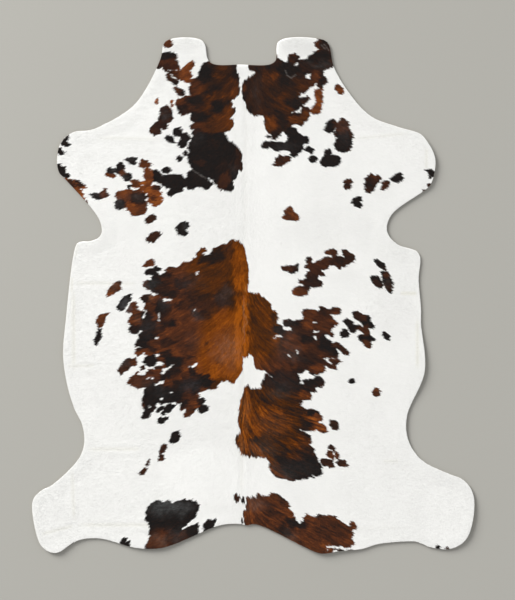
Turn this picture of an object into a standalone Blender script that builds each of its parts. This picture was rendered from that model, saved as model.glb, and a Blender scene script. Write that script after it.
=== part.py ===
"""Cowhide rug: one whole hair-on hide, lying flat on the floor with the hair side up.

Metres, +Z up.  +Y runs from the tail edge to the neck and +X to the right of the hide
as it is seen from above.  The origin is the middle of the outline's box, on the floor.
The rug is a single skin with its short coat lying flat on it, so it is one closed solid:
a flat underside, a soft rim, and the shallow creases that folding has left in it.
"""
import math

import bpy
import numpy as np
from mathutils import Vector
from mathutils.geometry import delaunay_2d_cdt

# Driving sizes, in metres.
HIDE_LENGTH = 2.200  # ear tips to the lowest edge of the rump
SKIN_THICKNESS = 0.0030
COAT_THICKNESS = 0.0025  # short hair lying flat
RIM_INSET_TOP = 0.0040  # the coat rounds off this far inside the outline
RIM_INSET_BOTTOM = 0.0012
RIM_HEIGHT_SHARE = 0.45  # the widest line of the rim, as a share of the thickness

# Mesh sizes, in metres.
RIM_STEP = 0.026  # along the outline
GRID_STEP = 0.070  # across the body
CREASE_STEP = 0.050  # along a crease
CLEARANCE = 0.018  # no grid point lies nearer than this to a rim or crease point
SPAN_STEPS = 24  # steps of the smooth curve between two points of the outline

MM = 0.001
OUTLINE_LENGTH = 2200.0  # the length at which the tables below are written, in mm

# The outline, in millimetres from the origin, anticlockwise as seen from above.
# A smooth closed curve passes through every point.
OUTLINE = {
    "neck edge": ((-55, 985),),
    "left ear": ((-185, 995), (-215, 1085), (-345, 1095), (-380, 1075)),
    "left cheek": ((-395, 1010), (-505, 815), (-655, 720), (-695, 705)),
    "left front foot": ((-770, 695), (-825, 640), (-830, 530), (-800, 495)),
    "left armpit": ((-655, 320), (-650, 255), (-705, 230), (-740, 230), (-755, 215)),
    "left belly": ((-800, -115), (-810, -260), (-790, -395), (-755, -500)),
    "left flank": ((-735, -535), (-720, -615), (-740, -690), (-860, -810), (-900, -830)),
    "left hind foot": ((-940, -875), (-915, -1045), (-890, -1080), (-860, -1095),
                       (-830, -1095), (-750, -1045)),
    "left rump": ((-660, -1035), (-500, -1075), (-385, -1075), (-160, -985)),
    "tail edge": ((-115, -975), (-50, -975), (-30, -980), (10, -975)),
    "right rump": ((270, -1095), (305, -1100), (360, -1090), (465, -1080), (530, -1060)),
    "right hind foot": ((695, -1050), (745, -1070), (840, -1080), (910, -1035),
                        (940, -860), (900, -790)),
    "right flank": ((820, -755), (715, -700), (660, -615), (655, -515)),
    "right belly": ((730, -325), (715, -120), (715, -60), (705, 65)),
    "right armpit": ((705, 180), (610, 220), (570, 275), (590, 345)),
    "right front foot": ((750, 465), (765, 495), (775, 585), (735, 665), (710, 690)),
    "right cheek": ((615, 720), (500, 765), (415, 855), (345, 970)),
    "right ear": ((325, 1060), (310, 1085), (110, 1085), (90, 995)),
}

# Fold marks, in millimetres: both ends, the height of the relief and its half width.
# A ridge stands up along its line.  A trough is a line left low between two soft swells.
CREASES = (
    # place                 kind      start          end           height  half_width
    ("spine, front",        "trough", (-28, 930),    (-34, 120),   2.5,    20),
    ("spine, back",         "trough", (-40, -110),   (-50, -930),  3.0,    20),
    ("left shoulder",       "ridge",  (-670, 672),   (-385, 666),  2.5,    16),
    ("right shoulder",      "ridge",  (425, 668),    (665, 690),   2.5,    16),
    ("left belly, across",  "trough", (-770, 52),    (-490, 50),   3.5,    18),
    ("left belly, low",     "trough", (-795, -302),  (-670, -300), 3.0,    16),
    ("left belly, edge",    "ridge",  (-765, 30),    (-760, -330), 3.5,    18),
    ("left flank, across",  "trough", (-710, -657),  (-470, -655), 3.5,    18),
    ("left hind, down",     "ridge",  (-770, -745),  (-760, -965), 3.0,    16),
    ("left hind, outer",    "trough", (-905, -1018), (-765, -982), 3.5,    16),
    ("left hind, across",   "trough", (-755, -980),  (-320, -978), 4.0,    18),
    ("right hind, across",  "ridge",  (200, -992),   (690, -990),  2.5,    18),
    ("right flank, across", "ridge",  (550, -708),   (625, -706),  2.5,    16),
    ("right belly, across", "trough", (625, 5),      (700, 4),     3.0,    16),
    ("right belly, edge",   "ridge",  (700, -95),    (700, -320),  3.5,    16),
    ("right front foot",    "ridge",  (735, 630),    (735, 535),   3.0,    14),
    ("right ear, across",   "trough", (205, 985),    (330, 982),   3.0,    16),
)

# Places where the rim stands a little off the floor, in millimetres.
RIM_LIFTS = (
    # place               centre          reach  height
    ("left ear",          (-300, 1095),   150,   5.0),
    ("right ear",         (215, 1090),    150,   6.0),
    ("left front foot",   (-835, 590),    170,   4.0),
    ("right front foot",  (780, 580),     190,   7.0),
    ("right armpit",      (620, 225),     120,   3.0),
    ("left belly",        (-812, -250),   150,   3.0),
    ("right belly",       (735, -290),    210,   7.0),
    ("right flank",       (650, -560),    120,   3.0),
    ("left hind foot",    (-880, -1095),  200,   6.0),
    ("left rump",         (-440, -1080),  180,   5.0),
    ("right rump",        (315, -1105),   200,   7.0),
    ("right hind foot",   (930, -960),    220,   7.0),
)

COAT_COLOUR = (0.90, 0.90, 0.88, 1.0)  # the white of the coat, linear
COAT_ROUGHNESS = 0.55

THICKNESS = SKIN_THICKNESS + COAT_THICKNESS
SCALE = HIDE_LENGTH / (OUTLINE_LENGTH * MM)


def clear_scene():
    for item in list(bpy.data.objects):
        bpy.data.objects.remove(item, do_unlink=True)


def metres(point):
    """A table point in millimetres as a point of the rug in metres."""
    return np.array(point, dtype=float) * MM * SCALE


def smooth_closed_curve(points, steps):
    """Centripetal Catmull-Rom curve through the points, with a few steps to each span."""
    count = len(points)
    curve = []
    for i in range(count):
        before, start, end, after = (points[(i + k) % count] for k in (-1, 0, 1, 2))
        knots = [0.0]
        for a, b in ((before, start), (start, end), (end, after)):
            knots.append(knots[-1] + math.sqrt(np.linalg.norm(b - a)))
        for t in np.linspace(knots[1], knots[2], steps, endpoint=False):
            row = [before, start, end, after]
            for width in (1, 2, 3):
                row = [blend_between(row[j], row[j + 1], t, width, j, knots)
                       for j in range(4 - width)]
            curve.append(row[0])
    return np.array(curve)


def blend_between(a, b, t, width, index, knots):
    """One step of the pyramid that gives a Catmull-Rom point."""
    low = knots[index] if width < 3 else knots[1]
    high = knots[index + width] if width < 3 else knots[2]
    share = (t - low) / (high - low)
    return a * (1.0 - share) + b * share


def evenly_spaced(loop, step):
    """Points along a closed polyline, the same distance apart."""
    closed = np.vstack([loop, loop[:1]])
    lengths = np.linalg.norm(np.diff(closed, axis=0), axis=1)
    along = np.concatenate([[0.0], np.cumsum(lengths)])
    count = int(round(along[-1] / step))
    places = np.linspace(0.0, along[-1], count, endpoint=False)
    return np.stack([np.interp(places, along, closed[:, k]) for k in (0, 1)], axis=1)


def inward_normals(loop):
    """Unit vectors that point into an anticlockwise loop."""
    along = np.roll(loop, -1, axis=0) - np.roll(loop, 1, axis=0)
    along /= np.linalg.norm(along, axis=1)[:, None]
    return np.stack([-along[:, 1], along[:, 0]], axis=1)


def inside(points, loop):
    """True for each point that lies inside the loop."""
    result = np.zeros(len(points), dtype=bool)
    x, y = points[:, 0], points[:, 1]
    for a, b in zip(loop, np.roll(loop, -1, axis=0)):
        crosses = (a[1] > y) != (b[1] > y)
        if a[1] != b[1]:
            result ^= crosses & (x < a[0] + (y - a[1]) * (b[0] - a[0]) / (b[1] - a[1]))
    return result


def bump(distance):
    """A smooth hump, 1 in the middle and 0 from a distance of 1 outwards."""
    return np.clip(1.0 - distance ** 2, 0.0, None) ** 2


def along_and_across(points, start, end):
    """How far along a segment each point is, from 0 to 1, and its distance from it."""
    axis = end - start
    share = np.clip((points - start) @ axis / (axis @ axis), 0.0, 1.0)
    nearest = start + share[:, None] * axis
    return share, np.linalg.norm(points - nearest, axis=1)


def underside_height(points):
    """The height of the underside above the floor: creases and lifted rims."""
    height = np.zeros(len(points))
    for _, kind, start, end, relief, half_width in CREASES:
        share, distance = along_and_across(points, metres(start), metres(end))
        width = half_width * MM * SCALE
        profile = bump(distance / (1.6 * width))
        if kind == "trough":
            profile = bump(distance / (2.4 * width)) - bump(distance / (1.2 * width))
        fade = np.clip(4.0 * share * (1.0 - share) * 2.0, 0.0, 1.0)
        height = np.maximum(height, relief * MM * profile * fade)
    for _, centre, reach, lift in RIM_LIFTS:
        distance = np.linalg.norm(points - metres(centre), axis=1)
        height += lift * MM * bump(distance / (reach * MM * SCALE))
    return height


def crease_points(loop):
    """Rows of points along each crease and beside it, so that the mesh can follow it."""
    rows = []
    for _, _, start, end, _, half_width in CREASES:
        first, last = metres(start), metres(end)
        axis = last - first
        side = np.array([-axis[1], axis[0]]) / np.linalg.norm(axis)
        count = max(3, int(round(np.linalg.norm(axis) / CREASE_STEP)) + 1)
        for offset in (-1.2, 0.0, 1.2):
            line = first + np.linspace(0.0, 1.0, count)[:, None] * axis
            rows.append(line + side * offset * half_width * MM * SCALE)
    points = np.concatenate(rows)
    points = points[inside(points, loop)]
    kept = []
    for point in points:
        others = np.array(kept + [loop[0]])
        if np.min(np.linalg.norm(others - point, axis=1)) > 0.6 * CLEARANCE:
            if np.min(np.linalg.norm(loop - point, axis=1)) > 0.6 * CLEARANCE:
                kept.append(point)
    return np.array(kept)


def grid_points(loop, crease_row):
    """A staggered grid across the body, clear of the rim and of the crease rows."""
    low, high = loop.min(axis=0), loop.max(axis=0)
    row_step = GRID_STEP * math.sqrt(3.0) / 2.0
    rows = []
    for index, y in enumerate(np.arange(low[1], high[1], row_step)):
        first = low[0] + (0.5 * GRID_STEP if index % 2 else 0.0)
        x = np.arange(first, high[0], GRID_STEP)
        rows.append(np.stack([x, np.full(len(x), y)], axis=1))
    points = np.concatenate(rows)
    points = points[inside(points, loop)]
    others = np.vstack([loop, crease_row])
    gap = np.linalg.norm(points[:, None, :] - others[None, :, :], axis=2).min(axis=1)
    return points[gap > CLEARANCE]


def hide_rim():
    """The outline as evenly spaced points, HIDE_LENGTH long, its box centred on the origin."""
    table = np.concatenate([metres(points) for points in OUTLINE.values()])
    rim = evenly_spaced(smooth_closed_curve(table, SPAN_STEPS), RIM_STEP)
    low, high = rim.min(axis=0), rim.max(axis=0)
    return (rim - 0.5 * (low + high)) * (HIDE_LENGTH / (high[1] - low[1]))


def hide_surface():
    """Vertices and faces of the hide as one closed body."""
    rim = hide_rim()
    inward = inward_normals(rim)
    top_ring = rim + inward * RIM_INSET_TOP
    bottom_ring = rim + inward * RIM_INSET_BOTTOM
    creases = crease_points(top_ring)
    field = np.vstack([creases, grid_points(top_ring, creases)])
    count = len(rim)

    flat = [Vector(p) for p in np.vstack([top_ring, field]).tolist()]
    ring_edges = [(i, (i + 1) % count) for i in range(count)]
    solved = delaunay_2d_cdt(flat, ring_edges, [list(range(count))], 1, 1e-7)
    triangles = [tuple(face) for face in solved[2]]

    def layer(points, lift):
        return np.column_stack([points, underside_height(points) + lift])

    top = np.vstack([layer(top_ring, THICKNESS), layer(field, THICKNESS)])
    edge = layer(rim, THICKNESS * RIM_HEIGHT_SHARE)
    bottom = np.vstack([layer(bottom_ring, 0.0), layer(field, 0.0)])
    vertices = np.vstack([top, edge, bottom])
    edge_start = len(top)
    bottom_start = edge_start + count

    faces = list(triangles)
    faces += [tuple(bottom_start + i for i in reversed(face)) for face in triangles]
    for i in range(count):
        j = (i + 1) % count
        faces.append((i, edge_start + i, edge_start + j))
        faces.append((i, edge_start + j, j))
        faces.append((edge_start + i, bottom_start + i, bottom_start + j))
        faces.append((edge_start + i, bottom_start + j, edge_start + j))
    return vertices, faces


def coat_material():
    material = bpy.data.materials.new("hair_on_hide")
    material.use_nodes = True
    shader = material.node_tree.nodes["Principled BSDF"]
    shader.inputs["Base Color"].default_value = COAT_COLOUR
    shader.inputs["Roughness"].default_value = COAT_ROUGHNESS
    shader.inputs["Metallic"].default_value = 0.0
    return material


def build_hide():
    vertices, faces = hide_surface()
    mesh = bpy.data.meshes.new("hide")
    mesh.from_pydata(vertices.tolist(), [], faces)
    mesh.validate()
    mesh.shade_smooth()
    mesh.set_sharp_from_angle(angle=math.radians(50.0))
    mesh.materials.append(coat_material())
    hide = bpy.data.objects.new("hide", mesh)
    bpy.context.scene.collection.objects.link(hide)
    return hide


def main():
    clear_scene()
    build_hide()


main()
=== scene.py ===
"""Cowhide rug, dressed: one hair-on hide with its short coat, markings and fold marks.

Metres, +Z up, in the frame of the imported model: +Y runs from the tail edge to the neck.
The skin is one thin closed sheet with a suede underside.  The coat is made of many flat
locks of hair that lie on it, each with its own colour, and runs back and outwards from
the spine as it does on the animal.
"""
import math

import bmesh
import bpy
import numpy as np
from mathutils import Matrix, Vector
from mathutils.geometry import delaunay_2d_cdt


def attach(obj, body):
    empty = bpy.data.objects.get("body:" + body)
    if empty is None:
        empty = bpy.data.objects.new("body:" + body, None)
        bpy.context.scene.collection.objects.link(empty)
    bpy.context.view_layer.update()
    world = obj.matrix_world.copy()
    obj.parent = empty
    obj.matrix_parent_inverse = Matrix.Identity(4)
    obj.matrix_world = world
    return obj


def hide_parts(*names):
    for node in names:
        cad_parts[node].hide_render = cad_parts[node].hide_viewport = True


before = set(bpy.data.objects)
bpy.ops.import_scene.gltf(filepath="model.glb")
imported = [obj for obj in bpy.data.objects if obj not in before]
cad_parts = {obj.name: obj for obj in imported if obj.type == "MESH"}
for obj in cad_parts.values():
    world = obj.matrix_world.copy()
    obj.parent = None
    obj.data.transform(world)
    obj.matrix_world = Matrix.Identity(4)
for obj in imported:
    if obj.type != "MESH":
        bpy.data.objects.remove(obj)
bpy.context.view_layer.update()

MM = 0.001

# The skin, in metres.
SKIN_THICKNESS = 0.0034
RIM_STEP = 0.006  # along the outline
CURVE_STEPS = 8  # between two points of the outline, before it is cut into rim steps
TOP_STEP = 0.0076  # grid across the upper face
UNDER_STEP = 0.0160  # grid across the underside
RIM_ROWS = (
    # inset from the outline, height as a share of the thickness
    (0.0030, 1.00),
    (0.0012, 0.86),
    (0.0000, 0.45),
    (0.0009, 0.00),
)
WAVE_HEIGHT = 0.0012  # gentle unevenness of the lying skin
WAVES = (
    # share, size, shift of the noise
    (0.7, 0.210, 2.2),
    (0.3, 0.075, 6.6),
)
CREASE_SHARE = 0.55  # of the solid's crease height, because the skin is softer than it
RIDGE_REACH = 1.6  # these three are shares of a crease's half width
TROUGH_OUTSIDE = 2.4
TROUGH_INSIDE = 1.2

# The coat, in metres.
LOCK_SPACING = 0.00300  # between the roots of neighbouring locks
LOCK_LENGTH = 0.017
LOCK_WIDTH = 0.0023
LOCK_ROOT = -0.0004  # heights over the skin
LOCK_MIDDLE = 0.0008
LOCK_TIP = 0.0011
CELL_INSET = 0.09  # the share of a lock's cell on the bake map that stays free at each edge
BAND_COLUMNS = 10  # of the bake map, in each band of locks
LOCK_LEAN = 0.035  # how far the shading of a lock leans at random
LOCK_ROUND = 0.10  # how round a lock looks across
LOCK_TURN = 7.0  # degrees by which neighbouring locks differ
LOCK_ROLL = 0.05  # how far a lock tips sideways, as a share of its width
LENGTH_RANGE = (0.78, 1.12)  # shares of LOCK_LENGTH
WIDTH_RANGE = (0.75, 1.2)  # shares of LOCK_WIDTH
LIFT_RANGE = (0.6, 1.25)  # shares of LOCK_MIDDLE and LOCK_TIP
SHORTEST = 0.12  # of a lock that is cut at the rim, as a share of its length
ROOT_JITTER = 0.9  # how unevenly the roots stand, as a share of their spacing
GRID_CLEARANCE = 0.0006  # of the roots from the rim, before they are moved about
ROOT_CLEARANCE = 0.0005  # and after that
TIP_SPREAD = 0.0009  # how far the tips stray sideways
TIP_DROP = 0.55  # how far the tips hang down at the rim, as a share of the skin's thickness
DROP_START = 0.002  # where that begins, inside the rim
DROP_REACH = 0.004
MIDDLE_SHARE = 0.42  # the widest place of a lock, as a share of its length
SEEN_SHARE = 0.575  # the middle of what shows of a lock, as a share of its length
OVERHANG = 0.0012  # how far the trimmed coat stands out past the rim
FEATHER = 0.0024  # how far the hairs of two colours reach into each other
SIDE_FEATHER = 0.0008  # the same across the hair
SKIN_SAMPLES = 5  # of the hair's colour along the feather, for the skin below it
GROWTH = 0.0021  # how far the markings reach past their chart outlines
GAP_LOSS = 0.0006  # how far they reach into the white hair inside them
TUFT_WIDTH = 0.0050  # of the tufts that fray the markings
TUFT_LENGTH = 0.0120
TUFT_REACH = 0.0038
TUFT_SHIFT = 15.1
TUFT_CONTRAST = 5.0
BLENDING = 0.007  # how far two dark tones of hair reach into each other
WHITE_SPREAD = 0.012  # how much the white locks differ in brightness
DARK_SPREAD = 0.10  # how much the dark locks differ in brightness
TONE_SPREAD = 0.06  # and in tone
# the darker roots are partly painted shade under the locks lying over them and partly the hair's
# own darker roots
ROOT_SHADE = 0.97  # brightness of a lock at its root
ROOT_DARKENING = 0.20  # how much less that is on dark hair
TIP_PALING = 0.08  # how much brighter dark hair is at its tip
RIM_CURL = 0.0045  # how far the trimmed edge stands off the floor
CURL_REACH = 0.070

RIM_MAP_CELL = 0.0015  # of the grid that holds the distance to the rim
RIM_MAP_REACH = 0.070
COAT_PIECES = ("coat_left_flank", "coat_left_back", "coat_right_back", "coat_right_flank")

# Camera, light and floor.
CAMERA_PLACE = (0.0185, -0.0199, 8.0)
CAMERA_LENS = 112.5
CAMERA_SENSOR = 36.0
CAMERA_FARTHEST = 50.0
KEY_STRENGTH = 3.38
KEY_SOFTNESS = 30.0  # degrees across
KEY_ELEVATION = 25.0
KEY_AZIMUTH = 135.0  # from the upper left of the picture
KEY_COLOUR = (1.0, 0.99, 0.97)
SIDE_POWER = 78.0
SIDE_SIZE = 3.0
SIDE_PLACE = (-4.0, 2.5, 3.0)
FILL_STRENGTH = 0.62
FILL_COLOUR = (1.0, 1.0, 1.0, 1.0)
FLOOR_COLOUR = (0.375, 0.368, 0.338, 1.0)
FLOOR_ROUGHNESS = 0.9
FLOOR_HALF_SIZE = 40.0
FLOOR_HEIGHT = -0.0006

# Materials.  Noise scales are per metre, and ranges are the values at the noise's ends.
HAIR_SPECULAR = 0.04
HAIR_NOISE_SCALE = 420.0
HAIR_GLOSS = (-0.08, 0.10)  # around the roughness of the hair
COAT_ROUGHNESS, COAT_SPECKLE = 0.50, 0.10
BASE_ROUGHNESS, BASE_SPECKLE = 0.62, 0.05
BASE_RELIEF_SCALE = 300.0
BASE_RELIEF_DEPTH = 0.0008
BASE_RELIEF_STRENGTH = 0.6
SUEDE_SPECULAR = 0.15
SUEDE_SHEEN = 0.35
SUEDE_SHEEN_ROUGHNESS = 0.6
SUEDE_BLOTCH_SCALE = 7.0
SUEDE_NAP_SCALE = 260.0
SUEDE_RAMP = (
    # place, colour
    (0.30, (0.50, 0.38, 0.26, 1.0)),
    (0.70, (0.74, 0.63, 0.49, 1.0)),
)
SUEDE_SHADES = (0.86, 1.10)
SUEDE_GLOSS = (0.82, 0.98)
SUEDE_RELIEF_DEPTH = 0.0006
SUEDE_RELIEF_STRENGTH = 0.5

# The chart of the markings: one step is CHART_STEP metres, x to the right and y down.
CHART_STEP = 0.004265
CHART_MIDDLE = (253.16, 295.33)

# Markings with an outline of their own: (name, tone, outline in chart steps).
PATCHES = (
    ("left ear", "dark", (
        (161, 54), (165, 53), (170, 52), (173, 52.5), (176, 54), (177, 57), (176, 60), (178.5, 63),
        (180, 66), (180, 69), (171, 69.5), (166, 68.5), (162, 67), (160, 68.5), (153, 69),
        (155, 54))),
    ("left ear, streaks", "dark", (
        (163, 68.5), (168, 69), (173, 70), (178, 69.5), (182, 70), (184, 74), (183, 79.5),
        (179, 79), (175, 77.5), (170, 75), (167, 73), (165, 71))),
    ("left ear, strip", "dark", (
        (166, 75), (168, 73.5), (171, 75), (175, 77.5), (178, 79), (178.5, 82), (177, 85),
        (173, 84.5), (170, 81.5), (167, 79))),
    ("left ear, inner", "red", (
        (183, 68), (186, 65), (190, 62), (192, 61), (194, 62.5), (194, 66), (192, 68.5), (189, 71),
        (191, 73), (192, 76), (190.5, 80), (191, 82), (188, 83), (185, 82), (181, 80), (180, 76),
        (179, 72))),
    ("left cheek", "dark", (
        (174, 88), (176, 86.5), (179, 88), (182, 89.5), (184.5, 91), (185.5, 93), (184.5, 95.5),
        (181.5, 95.5), (178, 94.5), (176, 93), (174.5, 90))),
    ("left neck, side", "red", (
        (176.5, 100), (178, 98.5), (181, 98.5), (184, 96.5), (188, 96), (191, 96), (195, 105),
        (190, 113), (187, 114), (184, 115), (181, 115.5), (178.5, 112), (177, 108), (176, 103))),
    ("left neck", "dark", (
        (209, 61.5), (205, 62.5), (202, 66), (200, 70), (198, 73), (199, 76), (197, 77.5),
        (192, 79), (190, 82), (191, 85), (188.5, 88), (189, 91), (191, 95), (190, 113),
        (191, 115), (190, 118), (192, 121), (195, 123), (192, 124), (190, 126), (191, 129),
        (194, 130), (193, 133), (200, 134), (221, 134), (224, 132.5), (229, 131), (232, 127),
        (234, 124), (233, 121), (230.5, 118), (232, 116), (234, 113), (236, 110), (235, 108),
        (231, 107.5), (232, 104), (231, 101.5), (234, 98.5), (238, 96), (239.5, 92), (239.5, 88),
        (238.5, 84), (239, 80), (238, 74), (236, 70), (236, 67), (237, 64.5), (237, 58),
        (209, 58))),
    ("right neck", "dark", (
        (248.5, 58), (248.5, 64.5), (249, 68), (251, 71), (256, 72), (255, 74.5), (250, 77),
        (245, 79), (244, 82), (242, 86), (242.5, 90), (242, 94), (243, 98), (245, 101),
        (246.5, 105), (247, 109), (250, 113), (255, 115.5), (261, 116), (266, 114.5), (270, 114),
        (268, 116), (265, 118), (264.5, 121), (265, 125), (266, 130), (268, 133), (271, 134.5),
        (272, 137), (270, 139), (275, 139.5), (279, 137), (281, 133), (284, 130), (291, 128),
        (293, 124), (297, 124), (301, 126), (304, 123), (307, 120.5), (309, 117), (309.5, 113),
        (310, 110), (308, 107), (305, 108), (303, 105), (306, 103), (309, 99), (308, 96.5),
        (305, 97), (301, 98), (301, 94), (305, 93), (307, 90), (310, 87.5), (314, 85.5),
        (317, 83), (319, 82), (320, 84), (323, 85), (326, 84), (327, 82), (326, 79), (324, 76),
        (323.5, 72), (324, 70), (328, 69), (332, 67), (334, 65), (336, 61), (334, 52), (331, 42),
        (325, 36), (318, 39), (317.5, 41), (314.5, 43), (315, 46), (318, 49), (317, 51),
        (314, 54), (310, 55), (308, 57), (306, 59), (301, 59.5), (298, 60), (299, 58), (298, 56),
        (295, 53.5), (291, 54), (288.5, 57), (289, 60), (286, 62), (284, 62.5), (280, 60),
        (278, 58), (276.5, 55))),
    ("right neck, stripe", "red", (
        (320, 88), (322, 87), (322, 91), (323, 96), (322, 102), (321.5, 106), (321, 111),
        (319, 113.5), (316, 114), (311.5, 114), (311, 111), (313, 107), (315, 102), (316, 99),
        (314, 95), (315, 91), (318, 89))),
    ("left shoulder", "dark", (
        (161, 108), (164, 106.5), (167, 105), (169, 106.5), (171, 108), (172, 112), (172, 116),
        (172.5, 119), (171, 122), (168, 123), (168, 127), (165, 129.5), (161, 128), (160.5, 130),
        (161.5, 133), (160, 134.5), (157, 134.5), (154, 136), (151.5, 134), (150, 131),
        (150, 128), (152, 126.5), (155, 123), (158, 121), (158.5, 117), (160, 113),
        (160.5, 110))),
    ("left shoulder, lower", "black", (
        (165, 138), (168, 135), (172, 136), (174, 138), (174, 141), (176, 143), (173, 143.5),
        (168, 141.5))),
    ("left arm, top", "black", (
        (124, 160), (127, 158), (131, 157.5), (134, 157), (137, 158.5), (136, 161), (137, 163),
        (134, 164.5), (130, 164), (127, 161.5))),
    ("left arm, upper", "red", (
        (139, 164.5), (142, 159), (146, 160.5), (150, 163), (151.5, 166), (148, 167.5),
        (143, 168), (140, 166))),
    ("left arm, link", "orange", (
        (144, 169), (148, 167.5), (151, 169), (154, 171), (154, 176), (153, 181), (152, 184),
        (150, 187), (145, 188), (144, 181), (144, 175))),
    ("left arm, long", "black", (
        (153, 171), (156, 169.5), (160, 171.5), (163, 175.5), (167, 175), (172, 174.5),
        (175, 173), (177, 174.5), (182, 175), (184, 179), (187, 178), (188, 175), (187, 173),
        (190, 171), (193.5, 169), (206.5, 177.3), (208, 180.5), (211, 182), (213.5, 184),
        (210, 186.5), (208, 189.5), (205, 189), (202, 188), (197, 186.5), (194, 189),
        (190, 189.5), (186, 187.5), (183, 188), (183.5, 191), (180, 192), (174, 193.5),
        (172, 196.5), (168, 196), (167.5, 193.5), (170, 190.5), (171, 189), (167, 187.5),
        (163, 185.5), (158, 183), (154, 181))),
    ("withers", "black", (
        (192.5, 131), (197, 132), (222, 133), (226, 136), (228, 139), (231, 141.5), (234, 144),
        (236, 146.5), (240, 149), (240.5, 152), (242, 156.5), (241, 160), (242, 164),
        (242.5, 168), (241, 171), (238, 171), (237, 175), (236, 178), (233, 180), (231, 182),
        (234, 184), (234, 188), (233, 190), (231, 192), (226, 191), (221, 190), (219, 187.5),
        (216, 185), (214, 181.5), (211, 179), (206.5, 178), (194, 170), (190, 165), (187.5, 162),
        (188.5, 159), (188, 155), (189.5, 153), (188, 148), (189, 143), (191, 140.5), (190, 139),
        (193, 137.5))),
    ("left arm, small", "orange", (
        (131, 181), (134, 179.5), (137, 181.5), (141, 182), (145, 181.5), (144, 184), (140, 186),
        (136, 188), (133, 186.5), (131, 183))),
    ("left arm, middle", "orange", (
        (141, 186), (146, 185), (151, 186), (156, 185), (161, 186.5), (161, 188.5), (160, 190.5),
        (162, 193.5), (160.5, 196), (163, 198), (162.5, 201), (160, 203.5), (158, 205),
        (155, 207), (152.5, 205), (152, 203), (150, 203), (148, 201), (148, 198), (147, 196),
        (149, 194), (145, 190))),
    ("left arm, lower", "red", (
        (117, 191.5), (122, 191), (126, 189.5), (130, 189.5), (134, 191), (139, 190), (144, 192),
        (146, 194), (146.5, 197), (145, 201), (148, 203), (147, 206), (147, 210), (145, 213),
        (142, 214.5), (138, 215.5), (135, 216), (132, 214), (130, 212), (127, 210), (126, 206),
        (125, 203), (117, 200), (115, 197), (116, 193))),
    ("left arm, outer", "red", (
        (104.5, 173.5), (108, 173), (113, 174), (115.5, 176), (114, 178), (110, 177),
        (106, 175))),
    ("left foot, inner", "black", (
        (89.5, 194.5), (93, 193.5), (97, 193), (101, 194), (102, 198), (99, 199.5), (95, 199),
        (92, 197))),
    ("left foot, beside", "dark", (
        (100.5, 193), (103, 190.5), (106, 191), (108, 193), (109.5, 194.5), (107, 197),
        (104, 198), (101.5, 198))),
    ("left foot, tip", "black", (
        (61, 143.5), (63, 141), (66, 138), (68, 136), (69.5, 136.5), (68, 139), (66.5, 141),
        (68, 143), (70.5, 145), (69, 146.5), (65, 146), (62, 145.5))),
    ("left foot, second", "black", (
        (56.5, 150), (58, 147.5), (61, 147.5), (61, 150), (63, 152), (66, 152.5), (64, 154.5),
        (61, 155), (57.5, 153.5))),
    ("left foot, third", "black", (
        (56, 164.5), (60, 164), (62, 166), (66, 167.5), (66, 170), (65.5, 172), (69, 174.5),
        (70, 177), (66, 178), (63, 176.5), (60, 173), (57.5, 170), (58.5, 167.5))),
    ("left foot, edge", "orange", (
        (64.5, 178.5), (68, 178), (70, 180), (75, 179.5), (80, 181), (83, 183.5), (85, 186),
        (87, 188), (84, 188.5), (80, 188.5), (81, 190), (83.5, 193), (83.5, 196), (85, 198.5),
        (83, 202), (77, 197), (72, 191), (66, 185))),
    ("right chest", "black", (
        (261, 145), (263, 141.5), (266, 141), (269, 142), (275, 142), (282, 143), (286, 142),
        (288, 139), (287, 136), (285, 133), (284, 131), (287, 129), (291, 127), (295, 128),
        (298, 132), (302, 135.5), (304, 136.5), (307, 136.5), (309.5, 140), (308, 143),
        (304, 144.5), (302, 143.5), (303, 148), (302, 150.5), (300, 153), (296, 156), (293, 157),
        (290, 155.5), (291, 152.5), (288, 150.5), (284, 149.5), (280, 151), (276, 151),
        (273, 149), (270, 148), (266, 148), (264, 149), (262, 147.5))),
    ("right chest, below", "dark", (
        (272, 165.5), (275, 161), (276, 158), (280, 155.5), (284, 157), (288, 156), (291, 158),
        (291, 160), (288, 162), (284, 165), (280, 167), (276, 166))),
    ("lone triangle", "red", (
        (289, 206), (292, 207.5), (293, 210.5), (296, 213.5), (298.5, 216.5), (299.5, 220.5),
        (294, 220.5), (284, 219.5), (281.5, 217.5), (284.5, 214.5), (284, 211.5),
        (286, 208.5))),
    ("right shoulder, inner", "black", (
        (324, 130), (326, 126), (328, 122), (331, 119.5), (334, 119), (336, 122), (337, 124),
        (333, 131.5), (329, 133), (326, 131.5))),
    ("right shoulder, outer", "dark", (
        (341, 117.5), (344, 119), (347, 121), (349, 124), (349, 128), (351, 130), (352, 133),
        (353.5, 136), (352, 139), (352, 143), (351.5, 147), (350, 150), (347, 152), (343, 152.5),
        (338, 151), (335, 148), (334, 144), (335, 141), (337, 138), (334, 136), (333.5, 133),
        (336, 129), (337, 125), (339, 122))),
    ("right chest, first", "black", (
        (305, 148), (308, 146), (311, 147), (314, 149.5), (313, 152.5), (311, 154), (308, 152),
        (305, 151))),
    ("right chest, second", "black", (
        (308, 160), (310, 157), (313, 155), (316, 157), (318, 158.5), (316, 160), (315, 162),
        (311, 162.5))),
    ("right chest, third", "black", (
        (324, 152), (326, 149.5), (329, 149), (331.5, 151), (331.5, 155), (335, 155.5),
        (339, 156), (341, 159), (340.5, 163), (337, 166), (332, 167), (328, 166), (325, 167),
        (322, 165), (320.5, 162), (322, 158.5), (325, 155.5))),
    ("right arm, first", "dark", (
        (343, 181), (346, 179.5), (350, 179), (352.5, 181.5), (350, 184), (351, 187), (349, 189),
        (345, 189), (343, 187), (344, 184))),
    ("right arm, second", "dark", (
        (369, 175), (372, 174.5), (375, 176), (378, 175.5), (381, 177), (381.5, 179),
        (379, 181.5), (377, 184), (375, 188), (372, 191), (370, 193), (366, 192), (364, 189),
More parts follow.
